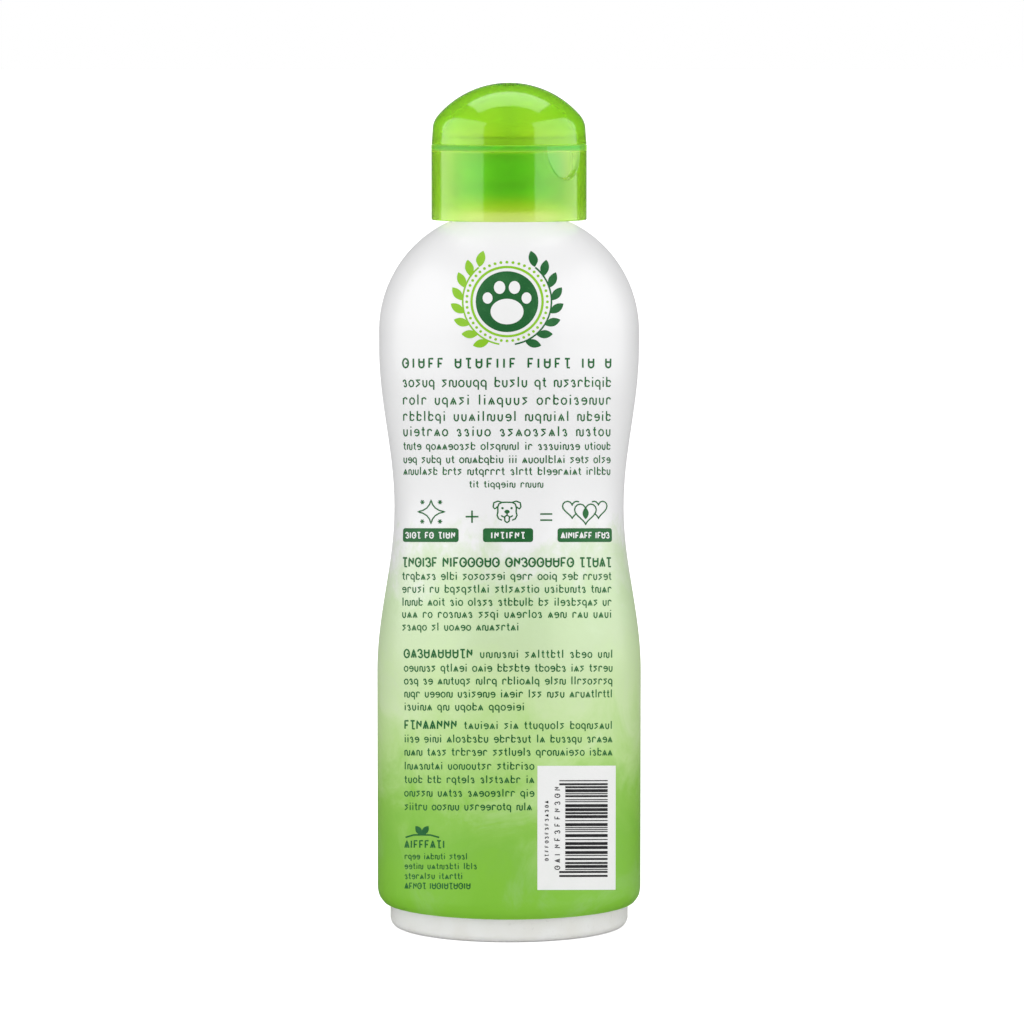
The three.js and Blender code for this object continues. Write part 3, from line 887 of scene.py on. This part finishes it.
def greek_line(art, rng, marks, x0, x1, base, size, weight, spread=0.16):
    """Fills one line of print from x0 to x1 with words of greeked marks."""
    limit = (x1 - x0) / size
    gap = 0.36 + spread
    words, used = [[]], 0.0
    left = rng.choice((3, 4, 5, 6, 7, 8))
    while True:
        if left == 0 and limit - used > gap + 1.6:
            words.append([])
            used += gap
            left = rng.choice((2, 3, 4, 5, 6, 7, 8, 9))
        mark = rng.choice(marks)
        if used + mark[0] + spread > limit:
            break
        words[-1].append(mark)
        used += mark[0] + spread
        left = max(0, left - 1)
    count = sum(len(word) for word in words)
    extra = (limit - used + spread) / max(1, count - 1 + 2 * (len(words) - 1))
    pen = 0.0
    for word in words:
        for width, strokes in word:
            for line in strokes:
                art.stroke([(x0 + (pen + x) * size, base + y * size) for x, y in line], weight * size)
            pen += width + spread + extra
        pen += gap + 2 * extra


# Lines of the panel: left and right edge, foot of the line and height of its tall marks, in mm,
# then the weight of the strokes, whether the line is set in tall marks, and their spacing
SMALL, PLAIN, STRONG = 0.15, 0.14, 0.2
LINES = [
    (-28.2, 27.9, 155.5, 2.4, STRONG, True, 0.42),
    (-28.2, 27.9, 150.35, 2.75, PLAIN, False, 0.16),
    (-28.2, 27.9, 145.6, 2.75, PLAIN, False, 0.22),
    (-28.2, 27.9, 141.2, 2.7, PLAIN, False, 0.22),
    (-28.2, 27.9, 137.1, 2.7, PLAIN, False, 0.22),
    (-28.2, 27.9, 133.4, 2.15, SMALL, False, 0.14),
    (-28.2, 27.9, 129.8, 2.15, SMALL, False, 0.14),
    (-28.2, 27.9, 126.6, 2.15, SMALL, False, 0.14),
    (-9.6, 9.2, 123.2, 1.9, SMALL, False, 0.14),
    (-28.2, 27.9, 101.95, 2.3, STRONG, True, 0.14),
    (-28.2, 27.9, 98.48, 2.15, SMALL, False, 0.14),
    (-28.2, 27.9, 95.08, 2.15, SMALL, False, 0.16),
    (-28.2, 27.9, 91.63, 2.15, SMALL, False, 0.14),
    (-28.2, 27.9, 88.43, 2.15, SMALL, False, 0.16),
    (-28.2, 3.0, 85.05, 2.1, SMALL, False, 0.14),
    (-27.75, -8.95, 77.81, 2.15, STRONG, True, 0.14),
    (-6.95, 28.35, 77.81, 2.15, SMALL, False, 0.2),
    (-27.75, 28.35, 74.11, 2.15, SMALL, False, 0.14),
    (-27.75, 28.35, 70.66, 2.15, SMALL, False, 0.14),
    (-27.75, 28.35, 67.16, 2.15, SMALL, False, 0.14),
    (-27.75, 4.45, 63.65, 2.15, SMALL, False, 0.14),
    (-27.75, -13.15, 58.66, 2.15, STRONG, True, 0.14),
    (-11.15, 28.35, 58.66, 2.15, SMALL, False, 0.16),
    (-27.75, 28.35, 55.01, 2.15, SMALL, False, 0.14),
    (-27.75, 28.35, 51.46, 2.15, SMALL, False, 0.14),
    (-27.75, 7.0, 47.7, 2.1, SMALL, False, 0.14),
    (-27.75, 7.0, 44.05, 2.1, SMALL, False, 0.14),
    (-27.75, 7.0, 40.4, 2.1, SMALL, False, 0.14),
    (-27.75, 6.4, 36.7, 2.1, SMALL, False, 0.14),
    (-27.75, -16.45, 26.5, 1.9, STRONG, True, 0.14),
    (-27.75, -10.35, 23.4, 1.7, SMALL, False, 0.14),
    (-27.75, -7.85, 20.75, 1.7, SMALL, False, 0.14),
    (-27.75, -11.65, 18.05, 1.75, SMALL, False, 0.14),
    (-27.75, -9.55, 15.4, 1.5, STRONG, True, 0.14),
]


def build_lines(dark):
    """The greeked lines of small print."""
    rng = random.Random(bpy.context.scene.bottle_colours.seed)
    art = Artwork()
    for x0, x1, base, size, weight, tall, spread in LINES:
        marks = HIGH_MARKS if tall else LOW_MARKS
        greek_line(art, rng, marks, x0 * MM, x1 * MM, base * MM, size * MM, weight, spread)
    art.place("small_print", dark, PROUD)


def star(x, y, reach, waist):
    points = []
    for k in range(4):
        a = math.pi / 2 * k
        tip = (x + reach * math.cos(a) * 1.2, y + reach * math.sin(a))
        low = (x + waist * math.cos(a + math.pi / 4), y + waist * math.sin(a + math.pi / 4))
        after = (x + reach * math.cos(a + math.pi / 2) * 1.2, y + reach * math.sin(a + math.pi / 2))
        for t in (0, 0.25, 0.5, 0.75):
            s = 1 - t
            points.append((tip[0] * s * s + low[0] * 2 * s * t + after[0] * t * t,
                           tip[1] * s * s + low[1] * 2 * s * t + after[1] * t * t))
    return points


def heart(x, y, size):
    points = []
    for k in range(28):
        a = 2 * math.pi * k / 28
        hx = 16 * math.sin(a) ** 3
        hy = 13 * math.cos(a) - 5 * math.cos(2 * a) - 2 * math.cos(3 * a) - math.cos(4 * a)
        points.append((x + hx / 17 * size, y + hy / 17 * size))
    return points


def paw(art, x, y, size):
    """A paw: one pad and four toes."""
    art.ring(x, y - 0.28 * size, 0, 0.34 * size, stretch=1.25)
    for dx, dy, r in ((-0.5, 0.08, 0.15), (-0.19, 0.36, 0.17), (0.19, 0.36, 0.17), (0.5, 0.08, 0.15)):
        art.ring(x + dx * size, y + dy * size, 0, r * size, stretch=0.85)


BADGE_HEIGHT = 173.0 * MM
BADGE_DISC = 8.0 * MM
BADGE_RIM = (8.8 * MM, 9.4 * MM)
BEADS, BEAD_REACH, BEAD_SIZE = 44, 10.35 * MM, 0.36 * MM
LEAVES, LEAF_REACH, LEAF_LONG, LEAF_WIDE = 8, 11.4 * MM, 4.3 * MM, 2.2 * MM


def build_badge(dark, light, white):
    """A round seal with a paw, a beaded rim and a sprig at each side."""
    y = BADGE_HEIGHT
    disc, rim, sprig_left, sprig_right, mark = (Artwork() for _ in range(5))
    disc.ring(0, y, 0, BADGE_DISC)
    rim.ring(0, y, *BADGE_RIM)
    for k in range(BEADS):
        a = 2 * math.pi * k / BEADS
        rim.ring(BEAD_REACH * math.cos(a), y + BEAD_REACH * math.sin(a), 0, BEAD_SIZE)
    for side, art in ((-1, sprig_left), (1, sprig_right)):
        for k in range(LEAVES):
            a = math.radians(-66 + 17 * k)
            x0, y0 = side * LEAF_REACH * math.cos(a), y + LEAF_REACH * math.sin(a)
            lean = math.degrees(a) + 50
            art.petal(x0, y0, LEAF_LONG, LEAF_WIDE, lean if side > 0 else 180 - lean)
        stem = [(side * LEAF_REACH * math.cos(math.radians(a)), y + LEAF_REACH * math.sin(math.radians(a)))
                for a in range(-80, 56, 6)]
        art.stroke(stem, SIGN_PEN)
    paw(mark, 0, y + 0.2 * MM, 9.9 * MM)
    disc.place("badge_disc", dark, PROUD)
    rim.place("badge_rim", light, PROUD)
    sprig_left.place("badge_sprig_left", light, PROUD)
    sprig_right.place("badge_sprig_right", dark, PROUD)
    mark.place("badge_paw", white, 2 * PROUD)


def dog_face(art, x, y):
    """A simple line drawing of a dog's head."""
    half = [(0, 2.55), (1.3, 2.5), (2.1, 2.05), (2.35, 1.1), (2.3, 0.0), (2.5, -1.0), (2.1, -1.9), (1.3, -2.3)]
    ear = [(1.3, 2.5), (2.3, 2.85), (3.35, 2.4), (3.5, 1.3), (3.1, 0.75), (2.4, 1.3)]
    muzzle = [(0, -0.35), (0, -0.95), (0.75, -1.45), (1.5, -1.05)]
    for side in (-1, 1):
        for line in (half, ear, muzzle):
            art.sketch(x, y, line, LINE_PEN, side)
        art.ring(x + side * 1.15 * MM, y + 0.95 * MM, 0, 0.3 * MM)
    art.ring(x, y, 0, 0.5 * MM, stretch=1.35)
    art.sketch(x, y, [(-0.6, -1.5), (-0.55, -2.5), (0, -2.95), (0.55, -2.5), (0.6, -1.5)], LINE_PEN)


LABELS = ((-28.2, -12.4), (-6.1, 6.6), (12.9, 28.2))   # left and right edge of each, in mm
LABEL_LOW, LABEL_HIGH = 108.5, 112.2


def build_icons(dark, white):
    """The row of pictures with a label under each."""
    art = Artwork()
    x, y = -19.9 * MM, 116.6 * MM
    art.stroke(star(x, y, 3.25 * MM, 0.6 * MM), LINE_PEN, closed=True)
    for dx, dy in ((-2.5, 2.6), (2.5, 2.6), (-2.5, -2.6), (2.5, -2.6)):
        for turn in (0, 60, 120):
            c, s = 0.62 * MM * math.cos(math.radians(turn)), 0.62 * MM * math.sin(math.radians(turn))
            cx, cy = x + dx * MM, y + dy * MM
            art.stroke([(cx - c, cy - s), (cx + c, cy + s)], 0.3 * MM)
    for dx, dy in ((1.65, 0), (0, 1.65)):
        ends = ((-8.9 - dx, 115.3 - dy), (-8.9 + dx, 115.3 + dy))
        art.stroke([(px * MM, py * MM) for px, py in ends], SIGN_PEN)
    for dy in (-0.82, 0.82):
        art.stroke([(8.4 * MM, (115.2 + dy) * MM), (11.5 * MM, (115.2 + dy) * MM)], SIGN_PEN)
    dog_face(art, 0, 116.65 * MM)
    x = 20.5 * MM
    art.stroke(heart(x, 116.4 * MM, 3.25 * MM), LINE_PEN, closed=True)
    for side in (-1, 1):
        outline = heart(x + side * 3.7 * MM, 117.5 * MM, 2.75 * MM)
        keep = [p for p in outline if side * (p[0] - x) > 2.2 * MM or p[1] > 119.2 * MM]
        split = next(i for i, p in enumerate(outline) if p not in keep)
        art.stroke([p for p in outline[split:] + outline[:split] if p in keep], LINE_PEN)
    art.petal(x, 114.6 * MM, 3.2 * MM, 1.7 * MM, 90)
    for x0, x1 in LABELS:
        art.rectangle(x0 * MM, LABEL_LOW * MM, x1 * MM, LABEL_HIGH * MM, 0.7 * MM)
    art.place("icon_row", dark, PROUD)
    rng = random.Random(bpy.context.scene.bottle_colours.seed + 1)
    words = Artwork()
    for x0, x1 in LABELS:
        inset = 0.9 if x1 - x0 > 14 else 2.1
        greek_line(words, rng, HIGH_MARKS, (x0 + inset) * MM, (x1 - inset) * MM, (LABEL_LOW + 1.05) * MM,
                   1.5 * MM, 0.23)
    words.place("icon_labels", white, 2 * PROUD)


def build_leaf_mark(dark):
    """A small two-leaf mark above the address lines."""
    art = Artwork()
    x, y = -22.7 * MM, 30.0 * MM
    art.petal(x, y, 3.0 * MM, 1.7 * MM, 52)
    art.petal(x, y, 3.0 * MM, 1.7 * MM, 128)
    art.sketch(x, y, [(-4.8, -0.7), (-2.4, -0.05), (0, 0), (2.4, -0.05), (4.8, -0.7)], SIGN_PEN)
    art.place("leaf_mark", dark, PROUD)


CODE_PANEL = (7.85, 15.1, 29.4, 48.7)    # left, foot, right and top, in mm
CODE_FOOT, CODE_TOP = 18.6 * MM, 44.8 * MM
CODE_UNIT = 0.27 * MM                    # the thinnest bar
LONG_BAR, SHORT_BAR, BAR_END = 13.6 * MM, 15.2 * MM, 27.0 * MM


def build_barcode(white, black):
    """A white panel with a ladder of bars that codes nothing."""
    panel, bars = Artwork(), Artwork()
    panel.rectangle(*(edge * MM for edge in CODE_PANEL))
    rng = random.Random(bpy.context.scene.bottle_colours.seed + 2)
    y = CODE_FOOT
    while y < CODE_TOP - CODE_UNIT:
        thick = min(CODE_UNIT * rng.choice((1, 1, 2, 2, 3, 3)), CODE_TOP - y)
        long = y < CODE_FOOT + 7 * CODE_UNIT or y > CODE_TOP - 8 * CODE_UNIT
        bars.rectangle(LONG_BAR if long else SHORT_BAR, y, BAR_END, y + thick)
        y += thick + CODE_UNIT * rng.choice((1, 1, 1, 2, 2))
    for x, first, last, step, size in ((13.1, 20.6, 42.6, 1.95, 1.35), (10.3, 23.0, 39.2, 1.2, 0.85)):
        for y in np.arange(first, last, step):
            for line in rng.choice(HIGH_MARKS[1:])[1]:
                turned_line = [((x + (0.5 - v) * size) * MM, (y + u * size) * MM) for u, v in line]
                bars.stroke(turned_line, 0.24 * MM if size > 1 else 0.2 * MM)
    panel.place("code_panel", white, PROUD)
    bars.place("code_bars", black, 2 * PROUD)


# ---------------------------------------------------------------- closure

LIP_INSET = 0.05 * MM                    # how far the lid stands in from the skirt's side
LID_DRAFT = 0.3 * MM                     # how far its side leans in
HINGE_FLAT = (3.5 * MM, 4.1 * MM)        # where the flat at the hinge starts and stops fading
THREADED_GAP = 1.45 * MM                 # from the neck's thread root to the threaded sleeve
THREADED_WALL = 1.5 * MM
THREADED_LENGTH = 16.6 * MM


def flat_depth(angle, middle, plane, radius):
    """How far a flat at a distance from the axis cuts into a round wall."""
    away = np.abs(angle_from(angle, middle))
    cut = radius - plane / np.cos(np.minimum(away, 1.2))
    return np.where(away < 1.0, np.maximum(cut, 0), 0)


def hinge_plane():
    shape = bpy.context.scene.closure_shape
    return math.sqrt(shape.radius ** 2 - shape.hinge_half ** 2)


def build_liner(material):
    low, high = LINER_LOW.z, LINER_HIGH.z
    bottle = bpy.context.scene.bottle_shape
    bore = bottle.neck_root - bottle.neck_wall
    edge = 0.2 * MM
    wide = LINER_HIGH.x
    corners = [(bore, low, edge), (wide, low, edge), (wide, high, edge), (bore, high, edge)]
    piece = turned("neck_liner", refined(filleted(corners), 0.4 * MM, True), 160)
    return finish_piece(piece, "liner", material, ["liner_ring"])


def let_light_through(piece):
    """Keeps translucent plastic from shading the white bottle under it."""
    piece.visible_diffuse = False
    piece.visible_shadow = False


def build_closure_base(material):
    """The screw-on skirt with its deck, orifice, lid ring, thumb notch and hinge flat."""
    shape = bpy.context.scene.closure_shape
    bottle = bpy.context.scene.bottle_shape
    under = SEAM - shape.deck
    skirt = bottle.neck_root + THREADED_GAP
    skirt_low = under - THREADED_LENGTH
    ring = shape.radius - LIP_INSET - shape.wall - shape.ring_clearance
    collar = shape.orifice + 1.4 * MM
    soft, crisp = 0.5 * MM, 0.22 * MM
    corners = [
        (shape.orifice, under, crisp), (skirt, under, crisp), (skirt, skirt_low, crisp),
        (skirt + THREADED_WALL, skirt_low, crisp), (skirt + THREADED_WALL, under, soft),
        (shape.radius - shape.wall, under, soft), (shape.radius - shape.wall, CLOSURE_LOW.z, crisp),
        (shape.radius, CLOSURE_LOW.z, 0.35 * MM), (shape.radius, SEAM, 0.1 * MM),
        (ring, SEAM, crisp), (ring, SEAM + shape.ring_height, soft),
        (ring - shape.ring_wall, SEAM + shape.ring_height, soft), (ring - shape.ring_wall, SEAM, soft),
        (collar, SEAM, soft), (collar, SEAM + MM, soft), (shape.orifice, SEAM + MM, crisp),
    ]
    outline = refined(filleted(corners), 0.3 * MM, True)
    notch_plane = math.sqrt(shape.radius ** 2 - shape.notch_width ** 2)
    start = thread_start() + bottle.pitch * (math.radians(-43) / (2 * math.pi) - 0.5)

    def shaped(radius, height, angle):
        outer = radius > shape.radius - 0.7 * MM
        across = shape.radius * np.sin(angle_from(angle, NOTCH_ANGLE))
        drop = SEAM - height
        reach = np.hypot(across / shape.notch_width, drop / shape.notch_height)
        scoop = flat_depth(angle, NOTCH_ANGLE, notch_plane, shape.radius) * (1 - step_up(0.9, 1.0, reach))
        flat = flat_depth(angle, HINGE_ANGLE, hinge_plane(), shape.radius)
        flat = flat * (1 - step_up(*HINGE_FLAT, np.abs(drop)))
        radius = radius - np.where(outer, scoop + flat, 0)
        clear = (height < under - MM) & (height > skirt_low + 0.3 * MM)
        on_skirt = (np.abs(radius - skirt) < 0.05 * MM) & clear
        ridge = thread_height(height, (angle - NOTCH_ANGLE) % (2 * math.pi), start, 1.25, bottle.pitch,
                              0.9 * MM, 0.25 * MM)
        return radius - np.where(on_skirt, ridge * 1.1 * MM, 0), height

    piece = turned("closure_skirt", outline, 480, shaped)
    let_light_through(piece)
    return finish_piece(piece, "closure", material, ["closure_base"])


def build_lid(material):
    """The domed lid with its hollow plug."""
    shape = bpy.context.scene.closure_shape
    top = LID_HIGH.z
    low = SEAM + 0.4 * LID_GAP
    rim = shape.radius - LIP_INSET
    edge = (rim - LID_DRAFT - shape.lid_fillet, SEAM + shape.lid_side)
    drop = top - edge[1]
    dome = (edge[0] ** 2 + drop ** 2 - shape.lid_fillet ** 2) / (2 * (drop - shape.lid_fillet))
    centre = (0, top - dome)
    turn = math.degrees(math.acos(edge[0] / (dome - shape.lid_fillet)))
    inner = dome - shape.lid_top
    fillet = shape.lid_fillet + MM
    corner = rim - LID_DRAFT - shape.wall - fillet
    nook = (corner, centre[1] + math.sqrt((inner - fillet) ** 2 - corner ** 2))
    inner_turn = math.degrees(math.acos(corner / (inner - fillet)))
    pin = shape.orifice - 0.375 * MM
    tip = SEAM - 1.2 * MM
    start = math.degrees(math.acos(pin / inner))
    bead = 0.12 * MM
    outline = [
        (rim - bead, low),
        *arc((rim - bead, low + bead), bead, bead, -90, 0, 4)[1:],
        *refined([(rim, low + bead), (rim - LID_DRAFT, edge[1])], 0.3 * MM)[1:],
        *arc(edge, shape.lid_fillet, shape.lid_fillet, 0, turn, 24)[1:],
        *arc(centre, dome, dome, turn, 90, 36)[1:-1],
        (0, top),
    ]
    inside = [
        (0, top - shape.lid_top),
        (pin - 1.0 * MM, top - shape.lid_top),
        (pin - 1.0 * MM, tip + bead),
        *arc((pin - 0.8 * MM, tip + bead), bead, bead, 180, 270, 3),
        (pin - 0.5 * MM, tip),
        (pin, tip + 0.5 * MM),
        (pin, centre[1] + math.sqrt(inner ** 2 - pin ** 2) - 0.4 * MM),
        *arc(centre, inner, inner, start - 2, inner_turn + 1, 28),
        *arc(nook, fillet, fillet, inner_turn, 0, 24),
        (rim - shape.wall, low + bead),
        *arc((rim - shape.wall + bead, low + bead), bead, bead, 180, 270, 3)[1:],
    ]

    def shaped(radius, height, angle):
        outer = (radius > rim - 1.2 * MM) & (height < SEAM + 4.6 * MM)
        local = np.where(height < edge[1], rim - LID_DRAFT * (height - low) / (edge[1] - low), radius)
        flat = flat_depth(angle, HINGE_ANGLE, hinge_plane(), local)
        flat = flat * (1 - step_up(*HINGE_FLAT, height - SEAM))
        return radius - np.where(outer, flat, 0), height

    rows = outline + refined(inside, 0.5 * MM)
    piece = turned_cap("flip_top", rows, len(outline) - 1, 384, shaped)
    let_light_through(piece)
    return finish_piece(piece, "lid", material, ["flip_lid"])


def turned_cap(name, rows, apex, segments, shape):
    """A closed body of revolution whose outline meets the axis twice in the middle of its run."""
    outer, inner = rows[:apex], rows[apex + 2:]
    top, under = rows[apex], rows[apex + 1]
    ring = np.array(inner + outer)
    points = swept(ring, segments, shape)
    first, last = len(points), len(points) + 1
    points = np.vstack([points, [0, 0, under[1]], [0, 0, top[1]]])
    faces = []
    end = (len(ring) - 1) * segments
    for j in range(segments):
        k = (j + 1) % segments
        faces.append((first, k, j))
        faces.append((last, end + j, end + k))
        for i in range(len(ring) - 1):
            low, high = i * segments, (i + 1) * segments
            faces.append((low + j, low + k, high + k, high + j))
    return smooth_object(name, points, faces)


def build_hinge(material):
    """Two film hinges and the snap strap between them, each running from base to lid."""
    across = Vector((-math.sin(HINGE_ANGLE), math.cos(HINGE_ANGLE), 0))
    out = Vector((math.cos(HINGE_ANGLE), math.sin(HINGE_ANGLE), 0))
    plane = hinge_plane()
    strips = (
        ("hinge_web_left", "hinge_film_left", 3.6 * MM, 1.8 * MM, -4.6 * MM, 0.42 * MM),
        ("hinge_web_right", "hinge_film_right", 3.6 * MM, 1.8 * MM, 4.6 * MM, 0.42 * MM),
        ("snap_strap", "hinge_snap_strap", 3.6 * MM, 3.0 * MM, 0.0, 0.5 * MM),
    )
    for name, node, width, lap, middle, thick in strips:
        half = lap + LID_GAP / 2
        face = HINGE_REACH - plane
        rows = []
        for k in range(41):
            t = -1 + k / 20
            z = t * half
            swell = step_up(0.45, 0.95, abs(t)) * 0.12 * MM
            root = step_up(0.5, 0.75, abs(t))
            inner = (-thick / 2) * (1 - root) - (face + 0.02 * MM) * root
            rows.append((inner, thick / 2 + swell, z))
        points, faces = [], []
        columns = [-0.5 + c / 12 for c in range(13)]
        for inner, outer, z in rows:
            for depth in (outer, inner):
                for c in columns:
                    crown = (0.06 * MM if depth == outer else 0) * (2 * c) ** 4
                    spot = HINGE + out * (depth - crown) + across * (middle + c * width) + Vector((0, 0, z))
                    points.append(spot)
        wide = len(columns)
        for r in range(len(rows) - 1):
            a, b = r * 2 * wide, (r + 1) * 2 * wide
            for c in range(wide - 1):
                faces.append((a + c, a + c + 1, b + c + 1, b + c))
                faces.append((a + wide + c + 1, a + wide + c, b + wide + c, b + wide + c + 1))
            faces.append((a + wide, a, b, b + wide))
            faces.append((a + wide - 1, a + 2 * wide - 1, b + 2 * wide - 1, b + wide - 1))
        end = (len(rows) - 1) * 2 * wide
        for c in range(wide - 1):
            faces.append((c + 1, c, wide + c, wide + c + 1))
            faces.append((end + c, end + c + 1, end + wide + c + 1, end + wide + c))
        piece = smooth_object(name, points, faces, 50)
        piece.data.materials.append(material)
        let_light_through(piece)
        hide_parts(node)
        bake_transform(piece)


# ---------------------------------------------------------------- stage

SIDE_LIGHT = 2.0                         # brightness of each light, where the backdrop is 1
TOP_LIGHT = 2.1
FRONT_LIGHT = 1.12
BACK_LIGHT = 0.86
THROUGH_LIGHT = 1.15
SOFTBOXES = (                            # name, place, width, height and brightness
    ("softbox_left", (-0.88, -0.17, 0.56), 1.56, 1.1, SIDE_LIGHT),
    ("softbox_right", (0.88, -0.17, 0.56), 1.56, 1.1, SIDE_LIGHT),
    ("softbox_top", (0, 0.42, 1.2), 1.04, 0.6, TOP_LIGHT),
)
LIGHTS_AIM = Vector((0, 0, 0.12))         # what the top light points at
CAMERA_AIM = Vector((0.0008, 0, 0.11384))
CAMERA_DISTANCE = 1.4605
CAMERA_PITCH = math.radians(4.955)
CAMERA_ANGLE = math.radians(10.962)
FLOOR_REACH = 60                         # far enough that its edge can't be seen


def build_world(scene):
    """A white backdrop for what is seen straight or through plastic, soft light from the front
    for what is matt, and a dark room round the softboxes for what is glossy."""
    world = bpy.data.worlds.new("studio")
    scene.world = world
    world.use_nodes = True
    nodes = Nodes(world.node_tree)
    background = next(n for n in world.node_tree.nodes if n.type == "BACKGROUND")
    split = nodes.add("ShaderNodeSeparateXYZ")
    nodes.join(nodes.add("ShaderNodeTexCoord").outputs["Generated"], split.inputs[0])
    ahead = split.outputs["Y"]
    ray = nodes.add("ShaderNodeLightPath").outputs
    matt = nodes.span(ahead, -1.0, 1.0, FRONT_LIGHT, BACK_LIGHT, False)
    glossy = nodes.span(ahead, 0.9, 0.99, 0.03, 0.25)
    through = nodes.span(ahead, -0.8, 0.2, 0.6, THROUGH_LIGHT)
    light = nodes.choose(ray["Is Glossy Ray"], matt, glossy)
    light = nodes.choose(ray["Is Transmission Ray"], light, through)
    nodes.join(nodes.choose(ray["Is Camera Ray"], light, 1.0), background.inputs["Strength"])
    background.inputs["Color"].default_value = (1, 1, 1, 1)


def build_stage():
    """Floor, light and camera."""
    scene = bpy.context.scene
    scene.view_settings.view_transform = "Standard"
    mesh = bpy.data.meshes.new("studio_floor")
    corners = [(x * FLOOR_REACH, y * FLOOR_REACH, 0) for x, y in ((-1, -1), (1, -1), (1, 1), (-1, 1))]
    mesh.from_pydata(corners, [], [(0, 1, 2, 3)])
    floor = bpy.data.objects.new("studio_floor", mesh)
    scene.collection.objects.link(floor)
    mesh.materials.append(floor_material())
    floor.visible_glossy = False
    build_world(scene)
    for name, spot, wide, tall, light in SOFTBOXES:
        lamp = bpy.data.lights.new(name, "AREA")
        lamp.shape = "RECTANGLE"
        lamp.size = wide
        lamp.size_y = tall
        lamp.energy = light * math.pi * wide * tall
        holder = bpy.data.objects.new(name, lamp)
        holder.location = spot
        target = LIGHTS_AIM if spot[0] == 0 else Vector((0, 0, spot[2]))
        holder.rotation_euler = (target - Vector(spot)).to_track_quat("-Z", "Y").to_euler()
        holder.visible_camera = False
        holder.visible_diffuse = False
        scene.collection.objects.link(holder)

    camera = bpy.data.cameras.new("camera")
    camera.angle = CAMERA_ANGLE
    camera.clip_end = 200
    holder = bpy.data.objects.new("camera", camera)
    away = Vector((0, -math.cos(CAMERA_PITCH), math.sin(CAMERA_PITCH)))
    holder.location = CAMERA_AIM + away * CAMERA_DISTANCE
    holder.rotation_euler = (math.pi / 2 - CAMERA_PITCH, 0, 0)
    scene.collection.objects.link(holder)
    scene.camera = holder


# ---------------------------------------------------------------- operators

class BottleOperator(bpy.types.Operator):
    """Shared settings of the bottle's operators"""
    bl_options = {"REGISTER", "UNDO"}


class MakeStage(BottleOperator):
    """Set up the floor, the soft lights and the camera"""
    bl_idname = "bottle.make_stage"
    bl_label = "Stage"

    def execute(self, context):
        build_stage()
        return {"FINISHED"}


class MakeShell(BottleOperator):
    """Make the blown bottle with its foot and threaded neck"""
    bl_idname = "bottle.make_shell"
    bl_label = "Bottle shell"

    def execute(self, context):
        build_shell()
        return {"FINISHED"}


class MakeFilm(BottleOperator):
    """Make the shrink sleeve with its green wash"""
    bl_idname = "bottle.make_film"
    bl_label = "Shrink film"

    def execute(self, context):
        build_film()
        return {"FINISHED"}


class MakePrint(BottleOperator):
    """Print the badge, the lines, the pictures and the bar panel on the film"""
    bl_idname = "bottle.make_print"
    bl_label = "Print"

    def execute(self, context):
        colours = context.scene.bottle_colours
        dark = ink_material("Dark green ink", tuple(colours.dark_ink), (0.05, 0.26, 0.07), 0.5)
        light = ink_material("Light green ink", tuple(colours.light_ink), (0.4, 0.68, 0.12), 0.4)
        white = ink_material("White ink", (0.9, 0.9, 0.9), (0.8, 0.84, 0.8), 0.4)
        black = ink_material("Black ink", (0.01, 0.01, 0.012), (0.06, 0.06, 0.06), 0.5)
        build_badge(dark, light, white)
        build_lines(dark)
        build_icons(dark, white)
        build_leaf_mark(dark)
        build_barcode(white, black)
        return {"FINISHED"}


class MakeLiner(BottleOperator):
    """Make the foam liner on the neck"""
    bl_idname = "bottle.make_liner"
    bl_label = "Liner"

    def execute(self, context):
        build_liner(foam_material())
        return {"FINISHED"}


class MakeSkirt(BottleOperator):
    """Make the closure's screw-on skirt with its deck and thumb notch"""
    bl_idname = "bottle.make_skirt"
    bl_label = "Closure skirt"

    def execute(self, context):
        build_closure_base(closure_material())
        return {"FINISHED"}


class MakeLid(BottleOperator):
    """Make the domed flip lid with its plug"""
    bl_idname = "bottle.make_lid"
    bl_label = "Flip lid"

    def execute(self, context):
        build_lid(closure_material())
        return {"FINISHED"}


class MakeHinge(BottleOperator):
    """Make the two hinge films and the snap strap"""
    bl_idname = "bottle.make_hinge"
    bl_label = "Hinge strips"

    def execute(self, context):
        build_hinge(closure_material())
        return {"FINISHED"}


class BottlePanel(bpy.types.Panel):
    """Lists the bottle's operators and settings"""
    bl_idname = "VIEW3D_PT_bottle"
    bl_label = "Shampoo bottle"
    bl_space_type = "VIEW_3D"
    bl_region_type = "UI"
    bl_category = "Bottle"

    def draw(self, context):
        for maker in MAKERS:
            self.layout.operator(maker.bl_idname)
        for group in (context.scene.bottle_shape, context.scene.closure_shape, context.scene.bottle_colours):
            for name in group.bl_rna.properties.keys():
                if name not in {"rna_type", "name"}:
                    self.layout.prop(group, name)


MAKERS = (MakeStage, MakeShell, MakeFilm, MakePrint, MakeLiner, MakeSkirt, MakeLid, MakeHinge)
CLASSES = (BottleShape, ClosureShape, BottleColours, *MAKERS, BottlePanel)


def register():
    for item in CLASSES:
        bpy.utils.register_class(item)
    bpy.types.Scene.bottle_shape = PointerProperty(type=BottleShape)
    bpy.types.Scene.closure_shape = PointerProperty(type=ClosureShape)
    bpy.types.Scene.bottle_colours = PointerProperty(type=BottleColours)


def unregister():
    for name in ("bottle_shape", "closure_shape", "bottle_colours"):
        delattr(bpy.types.Scene, name)
    for item in reversed(CLASSES):
        bpy.utils.unregister_class(item)


def main():
    register()
    bpy.ops.bottle.make_stage()
    bpy.ops.bottle.make_shell()
    bpy.ops.bottle.make_film()
    bpy.ops.bottle.make_print()
    bpy.ops.bottle.make_liner()
    bpy.ops.bottle.make_skirt()
    bpy.ops.bottle.make_lid()
    bpy.ops.bottle.make_hinge()


if __name__ == "__main__":
    main()
